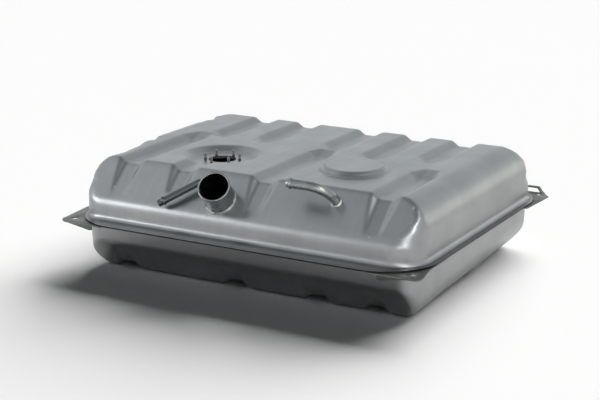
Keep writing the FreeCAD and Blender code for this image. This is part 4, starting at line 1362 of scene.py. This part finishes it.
@dataclass(frozen=True)
class Studio:
    """A pale floor lit from behind, lamps that shine in the metal and the photograph's camera."""

    camera_spot: tuple[float, float, float] = (1213.7, -2216.4, 704.7)
    camera_azimuth: float = 29.253
    camera_elevation: float = 15.383
    focal_length: float = 89.15
    sensor_width: float = 36.0
    camera_range: tuple[float, float] = (50.0, 100000.0)
    floor_height: float = -92.0
    floor_half: float = 20000.0
    floor_colour: str = "#F4F4F3"
    floor_roughness: float = 0.9
    floor_gloss: float = 0.1
    floor_light: float = 6.5
    floor_light_width: float = 50.0
    floor_light_way: tuple[float, float, float] = (0.03, 0.87, 0.49)
    lamps: tuple[Lamp, ...] = (
        # The shine along the shoulder of the front and its left corner.
        Lamp("left_box", (-2600.0, -2180.0, 800.0), 1800.0, 1200.0, 31.0, "#F6F9FF"),
        # The sheen on the sloping panel.
        Lamp("left_high_box", (-2260.0, -820.0, 2400.0), 2400.0, 2000.0, 3.6, "#F6F9FF"),
        # The upright shine on the near corner, the neck and the vent tube.
        Lamp("front_box", (2190.0, -2600.0, 700.0), 2400.0, 1400.0, 17.0),
        # The bright mark at the lower end of the near crease.
        Lamp("corner_box", (2390.0, -1790.0, 1750.0), 700.0, 700.0, 13.0),
        # The flanks of the sloping channels that face right.
        Lamp("high_box", (2050.0, -500.0, 2650.0), 1600.0, 1600.0, 13.0, "#FAFDFF"),
        # The right end.
        Lamp("end_box", (1450.0, 3200.0, 450.0), 2200.0, 900.0, 3.8, "#FFFFE6"))
    world_strength: float = 0.10
    sky: Stations = ((0.0, 0.93), (0.26, 0.93), (0.42, 0.94), (0.53, 0.71), (0.77, 0.74),
                     (0.85, 0.56), (0.92, 0.38), (1.0, 0.33))
    sky_tint: tuple[float, float, float] = (0.93, 0.975, 1.0)

    def make(self) -> None:
        """Sets up the camera, the floor, the lamps and the world."""
        self.make_camera()
        self.make_floor()
        self.make_floor_light()
        for lamp in self.lamps:
            lamp.make()
        self.make_world()
        bpy.context.scene.view_settings.view_transform = "Standard"

    def make_camera(self) -> None:
        """Places the camera where the photograph was taken from."""
        turn, rise = math.radians(self.camera_azimuth), math.radians(self.camera_elevation)
        back = Vector((math.sin(turn) * math.cos(rise), -math.cos(turn) * math.cos(rise),
                       math.sin(rise)))
        camera = bpy.data.objects.new("photo_camera", bpy.data.cameras.new("photo_camera"))
        camera.data.lens = self.focal_length
        camera.data.sensor_width = self.sensor_width
        camera.data.clip_start, camera.data.clip_end = (reach * MM for reach in self.camera_range)
        camera.location = Vector(self.camera_spot) * MM
        camera.rotation_euler = (-back).to_track_quat("-Z", "Y").to_euler()
        bpy.context.scene.collection.objects.link(camera)
        bpy.context.scene.camera = camera

    def make_floor(self) -> None:
        """Lays a pale matt floor under the tank."""
        mesh = bmesh.new()
        bmesh.ops.create_grid(mesh, x_segments=2, y_segments=2, size=self.floor_half * MM)
        bmesh.ops.translate(mesh, vec=(0.0, 0.0, self.floor_height * MM), verts=mesh.verts)
        data = bpy.data.meshes.new("studio_floor")
        mesh.to_mesh(data)
        mesh.free()
        floor = bpy.data.objects.new("studio_floor", data)
        bpy.context.scene.collection.objects.link(floor)
        material = bpy.data.materials.new("pale_floor")
        material.use_nodes = True
        shader = material.node_tree.nodes["Principled BSDF"]
        shader.inputs["Base Color"].default_value = srgb(self.floor_colour)
        shader.inputs["Roughness"].default_value = self.floor_roughness
        shader.inputs["Specular IOR Level"].default_value = self.floor_gloss
        data.materials.append(material)

    def make_floor_light(self) -> None:
        """Lights the floor from behind, wide and soft, and stays out of the reflections."""
        data = bpy.data.lights.new("floor_light", "SUN")
        data.energy = self.floor_light
        data.angle = math.radians(self.floor_light_width)
        lamp = bpy.data.objects.new("floor_light", data)
        lamp.visible_glossy = False
        way = -Vector(self.floor_light_way)
        lamp.rotation_euler = way.to_track_quat("-Z", "Y").to_euler()
        bpy.context.scene.collection.objects.link(lamp)

    def make_world(self) -> None:
        """Lights the floor weakly and shows the camera and the metal a pale sky, dimmer overhead."""
        first_bounce = 0.5
        world = bpy.data.worlds.new("studio")
        bpy.context.scene.world = world
        world.use_nodes = True
        tree = world.node_tree
        path = add_node(tree, "ShaderNodeLightPath")
        seen = add_node(tree, "ShaderNodeMath", {"operation": "MAXIMUM"}, {
            0: path.outputs["Is Camera Ray"], 1: path.outputs["Is Transmission Ray"]})
        either = add_node(tree, "ShaderNodeMath", {"operation": "MAXIMUM"}, {
            0: seen.outputs[0], 1: path.outputs["Is Glossy Ray"]})
        direct = add_node(tree, "ShaderNodeMath", {"operation": "LESS_THAN"}, {
            0: path.outputs["Diffuse Depth"], 1: first_bounce})
        shown = add_node(tree, "ShaderNodeMath", {"operation": "MULTIPLY"}, {
            0: either.outputs[0], 1: direct.outputs[0]})
        strength = add_node(tree, "ShaderNodeMapRange", {}, {
            "Value": shown.outputs[0], "To Min": self.world_strength, "To Max": 1.0})
        way = add_node(tree, "ShaderNodeSeparateXYZ", {}, {
            0: add_node(tree, "ShaderNodeTexCoord").outputs["Generated"]})
        sky = add_node(tree, "ShaderNodeValToRGB", {}, {0: way.outputs["Z"]})
        stops = sky.color_ramp.elements
        while len(stops) < len(self.sky):
            stops.new(1.0)
        for stop, (rise, level) in zip(stops, self.sky):
            stop.position = rise
            stop.color = (*(level * part for part in self.sky_tint), 1.0)
        background = tree.nodes["Background"]
        tree.links.new(sky.outputs["Color"], background.inputs["Color"])
        tree.links.new(strength.outputs[0], background.inputs["Strength"])


# The whole tank

def upper_sheet(coarse: float, bores: tuple[Bore, ...]) -> SheetPressing:
    """Lays out the upper half.

    Args:
        coarse: How much wider apart the rows and columns lie than in the final mesh.
        bores: The holes for the tubes and the sender.

    Returns:
        The upper half, ready to be made.
    """
    return SheetPressing(
        "upper_skin", "upper_shell", UPPER_FORM, turned_over=False, core=(262.0, 186.0, 28.0),
        strip=54.0, columns=3.0, coarse=coarse, bores=bores,
        rows=((-240.0, 3.0), (0.0, 3.0), (20.0, 4.0), (70.0, 8.0), (175.0, 8.0), (190.0, 3.2),
              (240.0, 3.2)))


def lower_sheet(coarse: float) -> SheetPressing:
    """Lays out the lower half, which is drawn upright and then turned over.

    Args:
        coarse: How much wider apart the rows and columns lie than in the final mesh.

    Returns:
        The lower half, ready to be made.
    """
    return SheetPressing(
        "lower_skin", "lower_shell", LOWER_FORM, turned_over=True, core=(255.0, 190.0, 26.0),
        strip=54.0, columns=3.3, coarse=coarse,
        rows=((-244.0, 3.4), (-180.0, 5.0), (-60.0, 4.0), (0.0, 4.0), (40.0, 6.0), (180.0, 6.0),
              (200.0, 3.4), (244.0, 3.4)))


def main() -> None:
    """Builds the tank's visible pieces and the studio."""
    logging.basicConfig(level=logging.INFO, format="%(name)s: %(message)s")
    coarse = 1.0
    pressed = PRESSED_STEEL.material()
    # The breather's darker tube colour is painted shade.
    tube, dark, braze = ZINC_TUBE.material(), SHADE_DARKENED_TUBE.material(), BRAZE_METAL.material()
    neck = FillerNeck()
    opening = Bore(Vector((SENDER_DISH.across, SENDER_DISH.back, DISH_FLOOR)),
                   Vector((0.0, 0.0, 1.0)), SENDER_OPENING)
    upper_sheet(coarse, (opening, neck.bore(), VENT.bore(), BREATHER.bore())).make(pressed)
    lower_sheet(coarse).make(pressed)
    WitnessPips().make(pressed)
    neck.make(tube, braze)
    VENT.make(tube, braze)
    BREATHER.make(dark, braze)
    SenderStuds().make(STUD_STEEL.material())
    CornerBrackets().make(BRACKET_STEEL.material())
    InnerPieces().make(INNER_STEEL.material())
    Studio().make()


if __name__ == "__main__":
    main()
